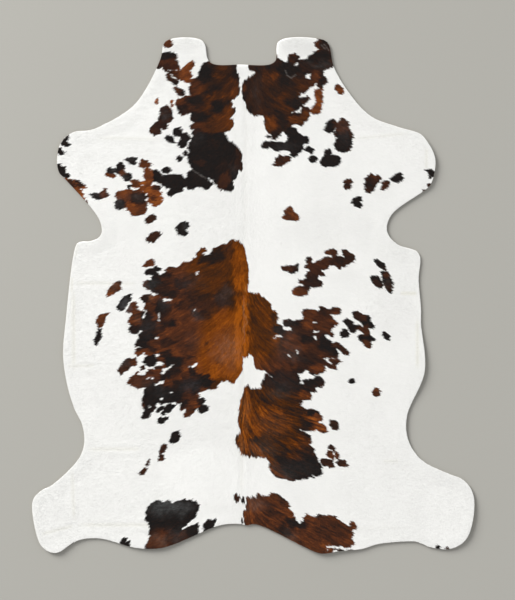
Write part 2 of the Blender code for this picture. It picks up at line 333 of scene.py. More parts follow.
        (365, 187), (363, 184.5), (366, 182), (365, 179), (367, 177))),
    ("right arm, third", "dark", (
        (381, 183), (384, 181), (388, 181), (390, 182), (390, 185), (388, 188), (385, 190),
        (382, 190), (379.5, 189), (382, 186))),
    ("right arm, fourth", "black", (
        (389.5, 179), (393, 177), (396, 174.5), (399, 172.5), (402, 173), (403, 177),
        (402.5, 180), (400, 182.5), (397, 183), (393, 181.5))),
    ("right arm, lower", "black", (
        (351, 203), (352, 199.5), (356, 197), (361, 197), (361, 200), (360, 203), (362, 205.5),
        (360, 208), (357, 206.5), (354, 205.5))),
    ("right foot", "black", (
        (425, 171), (429, 170), (431, 169.5), (433, 171), (434.5, 173), (436, 174.5), (434, 177),
        (430, 179), (428, 177.5), (429, 174.5), (427, 172))),
    ("middle, first", "dark", (
        (153, 214.3), (155, 215), (156.5, 217), (155.5, 219), (153, 221.5), (150, 223),
        (147.5, 223.8), (145.5, 222), (145.5, 220), (147, 217.5), (149, 216), (151, 215))),
    ("middle, second", "dark", (
        (155, 232), (158, 231.8), (160.5, 233), (161, 235), (158.5, 237), (156.5, 239),
        (155, 242), (152, 242.7), (149, 242.7), (146.5, 241.5), (145.8, 238.5), (148, 237),
        (150, 234.5), (152.5, 233))),
    ("middle, double", "black", (
        (174.5, 228.5), (177, 226.5), (179.5, 224), (182, 222), (185, 221.5), (188, 222),
        (189.5, 224.5), (189, 227), (187, 229), (185, 230), (187, 231.5), (188.5, 233),
        (187, 235), (184, 236), (181, 235), (178.5, 233.5), (176, 230))),
    ("back left, first", "red", (
        (143, 266), (144.5, 264.5), (145.5, 262), (147.5, 260.5), (150, 259.5), (153, 259.5),
        (155, 261.5), (154.5, 264), (152.5, 265.5), (149.5, 266), (147, 267), (145, 267.5))),
    ("back left, second", "red", (
        (118, 281), (120, 280.5), (121.5, 281.5), (121, 283.5), (120, 285), (121.5, 287),
        (122, 289), (120, 290.5), (117, 291.5), (113, 294), (109, 296), (107.5, 297),
        (106.3, 295), (107, 292), (108.5, 289.5), (111, 287), (113.5, 284.5), (115.5, 282.5))),
    ("back left, hook", "black", (
        (132.5, 294), (130, 294), (126, 296), (122, 298), (120.5, 300.5), (119, 304),
        (117.5, 307), (117, 309), (119, 310), (122, 311), (124.5, 309), (126, 306), (128, 303),
        (131, 300), (131, 297.5))),
    ("back left, lobe", "red", (
        (137, 302.5), (136.5, 305), (137.5, 308), (134.5, 310), (132, 312.5), (130, 313.2),
        (128, 312.5), (126.5, 311.5), (128, 308), (129.5, 305), (131, 303), (134, 302))),
    ("back left, lower lobe", "red", (
        (138, 309.5), (141, 310.5), (144.5, 312), (143.5, 315), (142, 318), (141, 320.5),
        (138, 322), (135.5, 324.5), (132, 325.5), (129, 324.5), (128, 321.5), (129.5, 318),
        (132, 315), (133, 312), (135, 310))),
    ("saddle, upper lobe", "black", (
        (146, 274.5), (145, 273), (147, 270.5), (149, 268.5), (151, 268.3), (153, 269),
        (155, 266.5), (157, 265), (158.5, 266), (159, 268), (161.5, 269), (160, 271),
        (157, 271.5), (159, 274), (158, 278), (152, 277.5), (152, 275))),
    ("saddle", "red", (
        (158, 273), (160, 275), (163, 274), (165, 273.5), (166.5, 271), (165, 270.5),
        (167, 268.5), (170, 267), (173, 267.3), (176, 268), (179, 266.5), (181, 265),
        (181.5, 263), (184, 262), (187, 262.5), (190, 262), (192.5, 261), (193, 259),
        (195, 257.5), (198, 257), (196, 255), (197, 252.5), (199.5, 250), (201, 248.5),
        (204, 248), (206, 250), (206.5, 251.5), (203, 252.5), (204, 254.5), (207, 256),
        (210, 254.5), (211, 251.5), (213, 248.5), (216, 247.5), (219, 246), (222, 245),
        (224, 244), (227.5, 244), (229, 242), (231, 240.5), (233, 239.5), (235, 241),
        (238, 240.5), (240, 243), (242.5, 244), (244.5, 247), (245, 250), (245.5, 255),
        (246.5, 258), (246.5, 261), (248, 265), (248.5, 268), (248, 272), (248, 278),
        (248.2, 282), (248, 286), (247, 290), (249, 292.5), (252, 293), (255, 294.5),
        (256.5, 294), (258, 293), (260, 294.5), (260.5, 296.5), (264, 297.5), (266, 300),
        (269, 302.5), (271, 304.5), (271, 308), (271.5, 310), (275, 311), (276.5, 313),
        (276.5, 316), (278, 318), (277, 321), (276, 324), (279, 324.5), (282, 326), (283, 329),
        (282.5, 332), (281, 334), (283.5, 335.5), (286, 345), (288, 355), (290, 365), (288, 372),
        (280, 374), (269, 373), (267, 372), (265, 370.5), (262, 370.5), (258.5, 369.5),
        (256, 368), (255, 365), (254, 361), (253.5, 358), (252, 355), (250, 354), (248.5, 355),
        (248, 357), (246, 358), (243, 357), (243, 361), (242.5, 365), (242.2, 370), (241, 371.5),
        (240, 374), (238, 377), (236, 379.5), (235, 382), (233, 383.5), (231, 383), (230, 381),
        (228, 380.5), (220.5, 380.5), (219, 384), (217.5, 385), (216.5, 388.5), (212, 389),
        (209, 388.8), (205, 390), (202, 391.5), (199, 392.5), (197, 394.7), (199.5, 395.3),
        (200, 396.5), (198.5, 399), (201.7, 397.3), (204.3, 398), (206, 400.3), (203.7, 402.7),
        (200.3, 405.3), (197, 408), (195, 411), (192.3, 413.3), (189.7, 416), (187, 416.7),
        (184.3, 417), (183.3, 415.3), (184.7, 413.3), (185, 410.7), (186.3, 408), (183.7, 409.7),
        (181, 410.7), (180, 409.3), (180.3, 406), (181.7, 402.7), (179.7, 403.3), (177, 403.7),
        (175, 402), (172.3, 402), (169.7, 402.7), (166.7, 402), (165, 403), (163, 404),
        (160.3, 404.3), (158.3, 403.3), (156.3, 403.3), (155.7, 406.3), (157, 407),
        (155.3, 409.3), (152.7, 411.7), (150.3, 413.3), (150, 416), (148.7, 417.7), (146.3, 418),
        (143.7, 419), (142, 418.7), (142.7, 415.3), (143.7, 412.3), (145.7, 410), (143, 408),
        (142, 404.3), (142.7, 402), (141.7, 400), (143, 396.7), (144.7, 394), (144.3, 390),
        (145.5, 388), (143, 387), (140, 388), (137.5, 388.5), (135.5, 387.5), (133, 386),
        (131.5, 384.5), (129, 383.5), (127, 383), (128.5, 380.5), (130, 378), (132, 376),
        (135, 375), (136.5, 372), (138, 370.5), (140, 371.5), (138, 373), (138.5, 375.5),
        (142, 375.5), (145.5, 375), (146, 372.5), (148, 370), (153, 369), (157, 369.5),
        (160.5, 369.5), (163.5, 363.5), (161, 361.5), (157, 360.5), (157.5, 359), (159, 356),
        (160.5, 353.5), (158, 353.5), (155, 353), (152, 355), (149, 355.5), (146, 355),
        (144, 353), (143.5, 352), (142, 347.5), (140, 346), (137, 346.5), (134.8, 347.5),
        (134.5, 345), (136, 342.5), (137.5, 340), (138.5, 337), (139.5, 334), (141, 332),
        (144, 331.5), (141, 329.5), (139, 331), (138, 333), (136, 334.5), (134, 333.5),
        (132, 333), (130, 332), (128.8, 330), (130, 327.5), (133, 326.3), (136, 324),
        (139, 321), (141.5, 318.5), (144, 318.6), (145.3, 316), (146.5, 313), (146, 311),
        (144.5, 308), (145, 305),
        (147, 303.5), (142.5, 302), (142, 300), (139, 298), (142, 296), (145, 295), (149, 294),
        (151, 294.5), (153, 296), (161.5, 297.5), (160, 295), (158, 294), (154, 293),
        (151, 291.5), (149, 289.5), (144, 286.5), (143, 284), (144.5, 281.5), (148, 280.5),
        (151.5, 280), (152, 277.5), (155, 275))),
    ("saddle, left blob", "black", (
        (146, 357), (149, 356), (152, 354.5), (155, 355.5), (156.5, 357), (157, 360.5),
        (155.5, 363), (154, 366), (151, 367), (148, 366.5), (146, 365), (143.5, 363.5),
        (144.5, 360), (145, 358))),
    ("saddle, left dot", "dark", (
        (142, 365.5), (144, 366), (144.5, 368), (143, 370), (141, 370), (140, 368),
        (141, 366))),
    ("right loin", "dark", (
        (284, 320.5), (286, 319.3), (288.5, 319), (290.5, 320.5), (293, 321), (296, 320),
        (299, 320), (302, 319.5), (304, 317), (302.5, 315), (301.5, 312), (303, 310), (306, 309),
        (309, 309), (312, 310), (316, 310.5), (319, 311.5), (319.5, 309), (319, 306.5),
        (321, 306.5), (324, 307.5), (327, 309), (330, 310), (331.5, 308), (333.5, 307),
        (337, 307), (339, 308.5), (341, 310), (340.5, 312.5), (338.5, 314.5), (335, 314.5),
        (331.5, 314), (330.5, 315), (332, 317), (334.5, 319.5), (337, 322), (338, 324.5),
        (335, 326.5), (332, 328.5), (330.5, 330), (331, 332), (333, 333), (334, 335), (333, 337),
        (331, 336.5), (328, 334), (325, 334.5), (325.5, 337), (326.5, 339.5), (329, 340),
        (331, 341.5), (332.5, 343.5), (333.5, 346), (336, 349), (337, 352), (338, 355),
        (337, 358.5), (338, 359), (341, 361.5), (339, 363.5), (336.5, 365), (336, 367),
        (337, 369), (333, 369), (330, 368.5), (327.5, 367), (324.5, 365), (324, 367), (326, 369),
        (325, 371), (322, 372), (320, 374), (317, 374), (314, 375.5), (311.5, 374), (309, 373),
        (308.5, 370.5), (305, 369.5), (303.5, 368.5), (304, 371), (303, 373.5), (300, 372.5),
        (298, 374), (297.5, 376), (290, 378), (282, 374), (280, 360), (280, 345), (281, 332),
        (283, 330), (287, 330.5), (291, 330.5), (292.5, 329), (290, 326.5), (287, 326.5),
        (284, 326),
        (283.5, 322.5))),
    ("rump", "dark", (
        (269, 372.5), (266, 374), (265, 377), (264, 380.5), (262, 383), (261, 386), (262, 388.5),
        (256, 388.5), (253, 389.3), (250, 387.5), (248.5, 385), (246, 387), (244.5, 387),
        (244.3, 390), (243.7, 394), (241.3, 398), (240.3, 403.3), (239.3, 408.7), (239.3, 412.7),
        (238.7, 417.3), (237.7, 421.3), (239, 424.7), (240.3, 428.7), (240.7, 432), (238.3, 436),
        (237.3, 435.3), (235.3, 439.3), (236.3, 443.3), (237.7, 446.7), (240.3, 450),
        (242.3, 454), (244.3, 454.7), (247, 456), (249.7, 457.3), (252.3, 456), (254.3, 457.7),
        (256.7, 458.7), (259, 457), (261.7, 458), (264.3, 458), (266.3, 457.3), (268, 460),
        (269.7, 462.7), (269, 465.3), (267.3, 466.7), (270, 468.7), (271.7, 471.3),
        (274.3, 475.3), (277.7, 477.3), (281.7, 478.7), (285.7, 479), (289, 480.3), (292.3, 481),
        (295, 480), (299.7, 480), (301.3, 479), (305, 478.7), (308.3, 478.3), (310.3, 476.7),
        (312.3, 477.7), (315.3, 478.3), (313, 475), (317.7, 476), (319.7, 474.7), (322, 474.3),
        (322.3, 472), (321, 470.3), (321.7, 468), (320.3, 464.7), (318, 462), (317.7, 458.7),
        (315.7, 455.3), (313, 452.3), (314.3, 449.3), (312.3, 447.3), (310.7, 444.7),
        (311.7, 442.7), (311, 440.7), (310.3, 437.7), (309, 435.3), (306, 433.3), (300, 430.5),
        (299.5, 429), (303, 430), (305, 431.3), (306.7, 430.3), (310.3, 430.7), (313.7, 430.3),
        (316.7, 428.3), (319, 431.3), (322.3, 433), (325.7, 433.3), (327.3, 431.7), (326.7, 430),
        (325.3, 426.3), (322.3, 424), (319, 422.7), (318.5, 420.7), (322.2, 420), (321.7, 416.7),
        (320, 414.7), (317.7, 411.3), (314, 409.7), (311, 409), (308.3, 408.7), (307, 409.7),
        (304.3, 408), (300, 406), (301.7, 402.7), (303.7, 400), (305, 400), (309.7, 399.7),
        (311.7, 396.7), (311, 392), (313, 392), (315.5, 391), (316, 388), (318, 387),
        (321.5, 387.5), (324, 385), (323, 383), (325, 381.5), (323, 379.5), (321, 377),
        (319, 375.8), (316, 376.5), (314.5, 379), (312, 379.5), (305, 379.5), (302, 380),
        (303, 382), (304, 384), (301, 384), (299, 383.5), (301, 381.5), (299, 379.5),
        (298.5, 377), (297.5, 374), (290, 370), (280, 370))),
    ("right back, top", "dark", (
        (324, 252.5), (327, 250.5), (330, 249), (334, 249.5), (337, 251.5), (337.5, 254),
        (334, 255), (330, 255.5), (327, 254))),
    ("right back", "dark", (
        (342, 250), (345, 249.5), (347, 250.5), (349, 252.5), (352, 253.5), (354.5, 256),
        (355, 259), (354, 261), (351, 263), (348, 263.5), (346, 266), (343, 266.5), (341, 266),
        (342, 268), (341, 269.5), (338.5, 269), (338, 267), (335, 265.5), (331, 265), (329, 266),
        (328.5, 268), (326, 270), (322, 269.5), (319.5, 268.5), (321, 271), (322.5, 273),
        (325.5, 274.5), (325, 276), (322, 276), (318.5, 276), (317, 278), (319, 280),
        (321.5, 282), (323, 284), (321, 286.5), (318, 287), (314, 287.5), (311, 287),
        (309, 289.5), (307, 291), (308, 293), (306, 295), (303, 296), (299, 296.3), (295, 295.5),
        (293, 294), (292.5, 291), (293, 288.5), (296, 286.5), (300, 286), (304, 286), (303, 284),
        (300, 283), (297.5, 282.5), (300, 280.5), (304, 279), (307, 278), (306, 276), (307, 273),
        (309, 271), (309, 269), (306, 268), (304, 266.5), (306, 265), (307, 263.5), (305, 262),
        (307, 260), (306, 258.5), (309, 257), (312, 258), (312.5, 260), (311, 262.5),
        (314, 263.5), (317, 261), (320, 260), (324, 258.5), (328, 257), (330, 257.5), (333, 258),
        (332, 255.5), (335, 255.5), (340, 256.5), (344, 257), (343, 254.5), (342, 252))),
    ("right back, inner", "black", (
        (281, 267.5), (283, 266), (286, 265.5), (290, 265.5), (294, 265), (298.5, 264.5),
        (298.5, 268), (298, 270), (295, 272), (292, 273.3), (290, 273), (288, 271), (285, 270.5),
        (282, 270))),
    ("right belly, arc", "black", (
        (374, 260), (377, 259.5), (380, 261), (382.5, 263), (385, 264), (386, 266), (384.5, 268),
        (386, 271), (388.5, 272.5), (390, 275), (389.5, 277.5), (392, 280), (393.5, 284),
        (393, 287.5), (391, 288), (392, 291), (391, 293), (388, 291.5), (385.5, 288), (384, 284),
        (383, 281), (381.5, 277), (381, 274), (380, 271.5), (383, 270.5), (382, 269), (379, 267),
        (376.5, 264.5), (375, 262))),
    ("right belly, beside", "black", (
        (370, 275.5), (374, 276), (377, 275.5), (379, 277.5), (381.5, 280.5), (383, 285),
        (382, 288), (379, 288.5), (376, 286), (373, 283.5), (371.5, 281), (370.5, 278))),
    ("right flank", "black", (
        (353, 312.5), (355, 311.5), (358, 311), (360.5, 313), (362.5, 315), (365, 314.8),
        (369, 315.5), (370.5, 318.5), (371, 321.5), (373, 325), (374.5, 327), (373, 328),
        (369, 328), (368, 329), (369, 331.5), (369.5, 334), (370, 335.5), (373, 337), (376, 340),
        (373, 341), (370.5, 340.5), (370.5, 343), (371, 346), (369, 348.3), (367, 347.5),
        (364.5, 345), (363, 342), (361, 341), (359, 340), (358.5, 338), (357, 336),
        (359.5, 334.8), (363, 335), (365, 334.5), (362.5, 333), (361, 331), (359, 329.5),
        (357, 330.5), (354, 332), (351, 332), (349, 330), (348, 327.5), (348, 325.5), (345, 323),
        (342.5, 321), (344, 319.5), (347, 318.5), (350, 320), (352.5, 322), (354, 324),
        (356.5, 325.5), (358.5, 324.5), (362, 327), (364, 327.5), (362.5, 324.5), (361, 322),
        (358, 320.5), (355.5, 319.5), (353.5, 316.5), (352.5, 314))),
    ("right flank, inner", "black", (
        (341, 336), (340, 334), (341.5, 331.5), (343, 329), (345.5, 329), (347.5, 331),
        (350, 334.5), (349, 336), (346, 337.5), (342, 338))),
    ("right flank, lower", "dark", (
        (333.5, 344.5), (334, 342.5), (336, 342), (338, 343), (340, 344.5), (343, 347),
        (346, 349), (348.5, 351), (349.5, 353.5), (348, 355), (345.5, 355), (342.5, 353),
        (340, 350.5), (337, 348), (335, 346))),
    ("right flank, outer", "black", (
        (382, 332), (385, 331.5), (388, 334), (390.5, 337), (390, 340), (387, 340),
        (384.5, 338.5), (382.5, 335.5))),
    ("left flank, right one", "dark", (
        (117.5, 371), (119, 368.5), (121.5, 366), (123, 363), (125.5, 360), (127.5, 358),
        (130, 358), (131.5, 359), (133.5, 358.5), (136, 357.5), (137.5, 358.5), (136, 361),
        (137, 364), (135, 366), (132, 365.5), (130, 367.5), (128.5, 370), (125.5, 371.5),
        (124, 372), (122, 374.5), (120, 374.5), (120.5, 372), (118.5, 371.5))),
    ("left belly, upper", "red", (
        (109.5, 313), (107.5, 314), (106, 317), (104.5, 319.5), (104, 323), (102.5, 325.5),
        (100.5, 327.5), (98, 328.5), (97.5, 326.5), (98.5, 325), (96.5, 323), (96.5, 320.5),
        (98, 317.5), (100, 315), (103, 314), (106.5, 313.5), (108, 312.5))),
    ("left belly, lower", "black", (
        (100, 328), (101, 329), (101, 331.5), (102, 333), (101, 336), (100, 340), (98, 343.5),
        (96.5, 345.5), (95, 344), (94.5, 341), (95.5, 337), (96.5, 333), (98, 330.5))),
    ("below saddle, first", "black", (
        (198, 408.5), (200, 406.5), (203, 404.5), (206, 405.5), (208.5, 406.5), (208.5, 409.5),
        (206.5, 411.5), (203, 413.2), (200, 412), (198, 410.5))),
    ("below saddle, tailed", "black", (
        (165, 407.3), (167, 405), (170, 403.7), (173, 404), (175, 405.7), (174, 407.5),
        (171.5, 409.5), (170, 412), (168, 413), (165.5, 413), (165, 415), (163, 415.5),
        (161.5, 414.3), (161.5, 412.5), (163, 411))),
    ("below saddle, left", "black", (
        (156.2, 412.5), (157, 410), (159, 407.5), (161.5, 406.5), (163.3, 407), (163, 409),
        (160.5, 410.5), (158.5, 412.5), (157, 413.3))),
    ("below saddle, flat", "black", (
        (157.5, 421.5), (158.3, 419), (160.5, 417.3), (163, 417.5), (166, 417), (168.5, 416.8),
        (168, 419), (165.5, 420.8), (163, 423), (160.5, 424), (159, 423))),
    ("left thigh, first", "black", (
        (170.3, 438), (170.5, 435), (173, 432.5), (176, 430.8), (179, 431), (178.5, 434),
        (180, 436), (179.7, 439), (178, 441.5), (174.5, 442.5), (171.5, 443.5), (170, 442),
        (169.7, 440))),
    ("left thigh, second", "dark", (
        (159.7, 450.5), (160.3, 448), (162, 445.5), (164, 444), (167.3, 444.7), (166, 448),
        (165, 450.5), (163, 452.7), (161, 453.3), (160, 452.5))),
    ("left thigh, third", "dark", (
        (158, 460), (158.5, 457.5), (160, 454.7), (162.5, 453.7), (164, 455), (164, 458),
        (163, 460.5), (161, 461), (158.5, 460.8))),
    ("left thigh, fourth", "dark", (
        (146, 464.5), (147, 461.5), (149, 459), (150.2, 458.7), (150, 462), (149, 464.3),
        (147, 466.3))),
    ("left thigh, fifth", "dark", (
        (140, 474), (141, 471), (143, 468.5), (145.5, 467.5), (147, 468.5), (146, 471.5),
        (144.5, 474), (142, 475))),
    ("right thigh, first", "dark", (
        (329.7, 422), (330.3, 420), (333, 420.3), (336.3, 421.3), (337.7, 422.7), (338.2, 427.3),
        (337.3, 429.7), (335.3, 430.3), (333, 429.3), (330.3, 426.7), (329.7, 424.7))),
    ("right thigh, second", "dark", (
        (328.8, 447.5), (329.8, 444.8), (332.5, 445.2), (334.8, 448), (335, 451), (333, 451.7),
        (330, 450.2))),
    ("right thigh, third", "red", (
        (326.9, 453), (327.3, 450.5), (330, 450.3), (332.8, 452.3), (334.6, 456), (334.2, 459.4),
        (331.8, 459.4), (329, 457.5), (327.3, 455.5))),
    ("right thigh, fourth", "red", (
        (334.3, 452), (336.3, 451.3), (338.3, 453.6), (339.5, 456.7), (338.4, 459), (335.6, 458.5),
        (334.5, 455.7))),
    ("right thigh, fifth", "dark", (
        (320, 460.7), (320.9, 458), (323.7, 458.2), (326, 458.9), (330.6, 458.9), (333, 461.5),
        (334.2, 464.8), (333.3, 467.5), (330.3, 468), (327.3, 467.4), (325, 466.2), (322.6, 465.6),
        (320.7, 463))),
    ("right thigh, sixth", "dark", (
        (336.3, 462), (338.3, 459.7), (341, 460), (343.7, 459.3), (345.7, 461.3), (347.7, 464.7),
        (347.7, 467), (345, 466.7), (342.3, 466.3), (339.3, 465.3), (337.3, 464))),
    ("left buttock", "black", (
        (151, 504), (149, 506), (147, 508.7), (146.3, 511.3), (145.3, 514), (146.3, 516.3),
        (145.7, 518.7), (147.7, 521.7), (149.7, 525), (150.7, 529.3), (148.7, 533.3),
        (149.7, 535.3), (149, 539.3), (147, 543.3), (145, 552), (170, 556), (202, 540),
        (198.3, 532.7), (198.7, 526.7), (197.7, 522.7), (195.7, 524.3), (191.7, 525.3),
        (187.7, 527.3), (183.7, 529.3), (181.7, 529.3), (184.3, 526.7), (187.7, 523.3),
        (191, 520), (195, 517.7), (196.3, 514.7), (197.7, 510.7), (198.7, 507), (197.7, 504),
        (196, 501.3), (193.7, 501.3), (191.7, 499.3), (187.7, 500.7), (185, 498.7),
        (182.3, 500.3), (177, 501), (174.7, 503), (171.7, 503.7), (170.3, 501.3), (168, 500.3),
        (165, 502), (162.3, 502.3), (159.7, 499.7), (157, 500), (154.3, 502.3))),
    ("left rim spot", "black", (
        (120.7, 541.5), (121.5, 540), (123, 538), (125, 537), (126.7, 538), (126.5, 541),
        (128, 541.5), (130, 540.5), (130.5, 542.5), (129, 548), (121, 546))),
    ("left rim wedge", "black", (
        (203.7, 528), (203.7, 524.3), (206.3, 520.7), (209.3, 518.7), (212.3, 520), (216, 519),
        (216.3, 520.7), (214.3, 523.3), (212, 532), (202, 534))),
    ("tail, left", "dark", (
        (234.5, 495), (236.3, 493), (237.5, 496), (240, 496.5), (241, 498.7), (239, 498.5),
        (238.7, 501), (237, 502.3), (235, 501.3), (234.3, 499.3))),
    ("tail, right", "black", (
        (242.5, 497.5), (243.7, 495), (244, 499.5), (245, 501), (243.5, 503), (242, 502.5),
        (241.5, 500.5))),
    ("right buttock", "red", (
        (245.5, 505), (247.3, 502), (246.3, 498.7), (248.5, 497), (250.5, 498.5), (252, 496),
        (254, 497.5), (256, 498), (257, 496), (257.7, 493), (260, 495), (261, 497), (263, 495.5),
        (266, 496.5), (269, 495.5), (270, 492.5), (273, 493), (276, 494), (279, 495),
        (282, 496.5), (283.5, 498.5), (286, 501), (289, 503), (289.5, 506), (289, 508.5),
        (291, 511), (293.5, 513.5), (294, 516), (295.5, 517), (295.5, 520), (298, 523),
        (300, 524), (302, 521.5), (304, 520), (303.5, 517.5), (306, 516), (308, 515.5),
        (305.5, 512.5), (307, 513), (309, 515), (310.5, 516), (314, 517), (317, 516.5),
        (318, 515), (321, 514.3), (325, 515.5), (331, 515.5), (336.5, 516.5), (335.5, 518.5),
        (338, 520), (341, 521.5), (345, 524), (347, 526), (351, 527.5), (353.5, 529),
        (352, 530.5), (353.5, 533), (353, 536), (351.5, 539), (352.5, 542), (353.5, 544),
        (352, 546), (349, 547), (346, 547.3), (342, 546), (339, 546.3), (334, 545), (330, 545),
        (327.5, 545.3), (325, 549), (328, 548), (331, 547.5), (333, 549), (331, 556),
        (300, 560), (246, 532), (245, 523), (244.3, 519), (244, 516), (243.2, 513), (243.5, 511),
        (247, 510))),
    ("right rim fleck", "black", (
        (337.5, 548.6), (340, 548.8), (344, 550), (343, 553), (339, 553))),
    ("right buttock, beside", "red", (
        (349.5, 523), (351, 521.8), (354, 521.8), (355.7, 524), (357, 526.8), (355.5, 528.8),
        (352.5, 528.3), (350.5, 526.5))),
    ("right hind foot, first", "black", (
        (436, 545.5), (438, 545), (440, 546.5), (441, 548), (439, 550), (436.5, 549))),
    ("right hind foot, second", "dark", (
        (445, 548), (446.5, 547), (448, 547), (449, 548), (447, 550))),
)

# Round markings: (tone, middle in chart steps, half width, half height).
SPOTS = (
    ("red", (168, 43.5), 4.3, 4.3),
    ("red", (337.7, 88), 2.9, 3.6),
    ("red", (341, 91), 2.9, 3.4),
    ("orange", (157, 101), 1.5, 2.5),
    ("orange", (172, 103.5), 1.5, 3.0),
    ("black", (330.5, 126), 4.5, 5.0),
    ("red", (135.5, 183), 4.0, 3.4),
    ("black", (177.5, 132), 4.3, 4.3),
    ("black", (185, 137.5), 4.5, 4.5),
    ("black", (182.5, 144), 4.5, 3.8),
    ("black", (185.5, 153.5), 2.3, 2.3),
    ("black", (179.5, 158.5), 2.8, 2.8),
    ("black", (166.5, 170), 4.0, 3.0),
    ("black", (129.5, 186.5), 1.7, 1.7),
    ("black", (120.3, 204.6), 6.0, 4.7),
    ("black", (111, 170.5), 4.0, 3.0),
    ("black", (120.5, 166.5), 3.8, 3.8),
    ("black", (117.5, 171.5), 2.6, 2.2),
    ("red", (123, 173), 2.8, 4.0),
    ("black", (127.5, 177), 4.5, 4.0),
    ("red", (105, 189.3), 2.6, 0.9),
    ("red", (86, 202.2), 1.2, 1.4),
    ("black", (268, 136.5), 2.5, 1.0),
    ("dark", (429.5, 185.5), 1.6, 1.8),
    ("dark", (424, 191), 1.5, 1.1),
    ("red", (139, 352), 4.0, 4.0),
    ("red", (158.5, 295.5), 2.2, 1.0),
    ("black", (320, 85), 2.6, 2.6),
    ("orange", (142, 188.5), 2.6, 2.2),
    ("orange", (146, 192), 1.6, 1.3),
    ("dark", (266.6, 115.2), 2.6, 1.9),
    ("dark", (158.5, 367.5), 3.2, 1.5),
    ("dark", (351, 550.2), 3.4, 0.5),
    ("black", (351.8, 381), 3.0, 2.3),
    ("red", (376, 392.3), 4.2, 4.2),
    ("black", (242.4, 521), 0.8, 2.6),
    ("dark", (238.5, 498.5), 1.0, 1.6),
    ("black", (243.8, 500.5), 0.9, 2.0),
    ("dark", (335, 548.5), 1.8, 0.9),
)

# White hair inside the markings, in chart steps.
GAPS = (
    ((164.5, 71), (169, 73.6), (173, 76), (177.5, 79.5), (177, 80.2), (171, 76.4), (166, 72.5)),
    ((166, 69.4), (171, 69.4), (177, 70.8), (176, 71.4), (170, 70.6)),
    ((305.5, 78), (306, 75), (309, 73.5), (311, 72), (310, 76), (309, 78.5)),
    ((294, 65.8), (294.3, 64), (297, 62.8), (299, 62.5), (297.6, 64.6), (296, 66.6)),
    ((290, 112.8), (294, 111.2), (298, 110.3), (300.6, 107), (301.6, 107.2), (300, 111),
     (302, 113), (299, 112.8), (295, 112.5)),
    ((298.6, 96.4), (302.6, 94.4), (304, 96), (300.6, 98.8)),
    ((325, 466.6), (328, 465.6), (329, 467.6), (326, 468.6)),
    ((162.5, 299.5), (165, 298), (168, 299), (171, 298.5), (172, 300), (171, 301), (167, 301.5),
     (163, 302)),
    ((194.3, 273), (196.3, 272.8), (199, 270.8), (198.3, 273.2), (196.6, 275.2)),
    ((192.5, 310), (195, 309.6), (196, 310.8), (194, 311.4)),
    ((159, 312), (160.3, 312), (159.4, 315), (159, 317.5), (160.3, 320.5), (159, 320.8),
     (157.6, 318), (157.6, 315.5)),
    ((155, 338), (157, 337), (159, 337.5), (158, 339.3), (156, 339.5)),
    ((196.5, 362), (195, 363), (192.5, 365), (191.5, 367), (193, 368), (195.5, 366),
     (197, 363.5)),
    ((188, 366), (190, 365.5), (190, 367), (188.5, 367)),
    ((162, 369), (164, 368), (167, 367.5), (170, 366.5), (171.5, 364.5), (172.5, 364.5),
     (171, 367.5), (168, 370), (165.5, 372), (163, 374.5), (161.5, 375), (162.5, 371.5)),
    ((146.5, 314.5), (145, 317), (143, 318.5), (144, 315.5)),
    ((147, 378.5), (149, 377), (152, 377), (154, 378.5), (152.5, 379.5), (150, 378),
     (148, 379)),
    ((155, 384.5), (158, 382.5), (160.5, 380.5), (163.5, 380.5), (164, 382), (161.5, 384),
     (158.5, 385), (156, 386.5)),
    ((170.2, 391.7), (171.8, 391.7), (171.8, 392.9), (170.2, 392.9)),
    ((159.5, 399.5), (161.5, 398), (163.7, 397.5), (163, 399.3), (160.5, 400.2)),
    ((148.5, 404), (149.5, 404), (150.3, 407), (149.3, 407)),
    ((284, 327), (287, 326.8), (290, 327), (292, 329), (290.5, 330.4), (287, 330.2),
     (284.5, 329.8)),
    ((276, 334.5), (279, 335), (282, 335.5), (283.5, 337), (279, 337), (276.5, 336.5),
     (275, 339), (274, 338)),
    ((287, 354.5), (289, 355), (291, 357.5), (288, 356.5)),
    ((296, 350), (298, 349.5), (299, 352), (298.5, 354.5), (297, 354), (298, 352)),
    ((313, 322.5), (316, 321.5), (318, 322.5), (316.5, 323.3)),
    ((312, 332), (315, 331.5), (319, 330.5), (321, 330.5), (318, 332.5), (314, 333)),
    ((313.5, 335), (315.5, 336), (317.5, 338), (317.5, 340), (315, 340), (313.5, 338)),
    ((325, 359.5), (327, 357), (328.5, 357), (328, 359), (330, 361), (332.5, 364.5), (330, 364),
     (327.5, 361), (325.5, 360.5)),
    ((329, 358.5), (333, 358), (335, 358.5), (332, 359.5)),
    ((266.5, 372.5), (267.5, 372.5), (272, 376.8), (271.4, 377.2)),
    ((326, 549.6), (329, 549.2), (329, 550.2), (326, 550.6)),
    ((326, 449.4), (331, 449.6), (334.5, 451), (334.5, 452), (331, 450.6), (326, 450.4)),
    ((333.7, 451.5), (334.7, 452), (336, 459.5), (334.6, 459.5), (334.3, 456)),
    ((325, 457.8), (330, 458.4), (334, 459.8), (334, 460.6), (330, 459.2), (325, 458.6)),
    ((381, 269), (384.5, 270.2), (384, 271.2), (380.5, 270.2)),
)

# Colours of the hair, as linear light, from the coldest to the warmest of the dark tones.
TONES = {"black": 0.0, "grey": 0.12, "dark": 0.28, "red": 0.55, "orange": 0.80, "bright": 1.0}
DARK_RAMP = (
    # tone, colour
    (0.00, (0.0120, 0.0108, 0.0104)),
    (0.28, (0.0360, 0.0155, 0.0098)),
    (0.55, (0.0850, 0.0270, 0.0112)),
    (0.80, (0.1770, 0.0490, 0.0135)),
    (1.00, (0.3250, 0.0930, 0.0160)),
)
GOLD = (1.07, 0.95, 0.30)  # what turns the red tones golden
GOLD_RISE = 2.2  # how fast that grows with the tone, from GOLD_START on
GOLD_START = 0.15

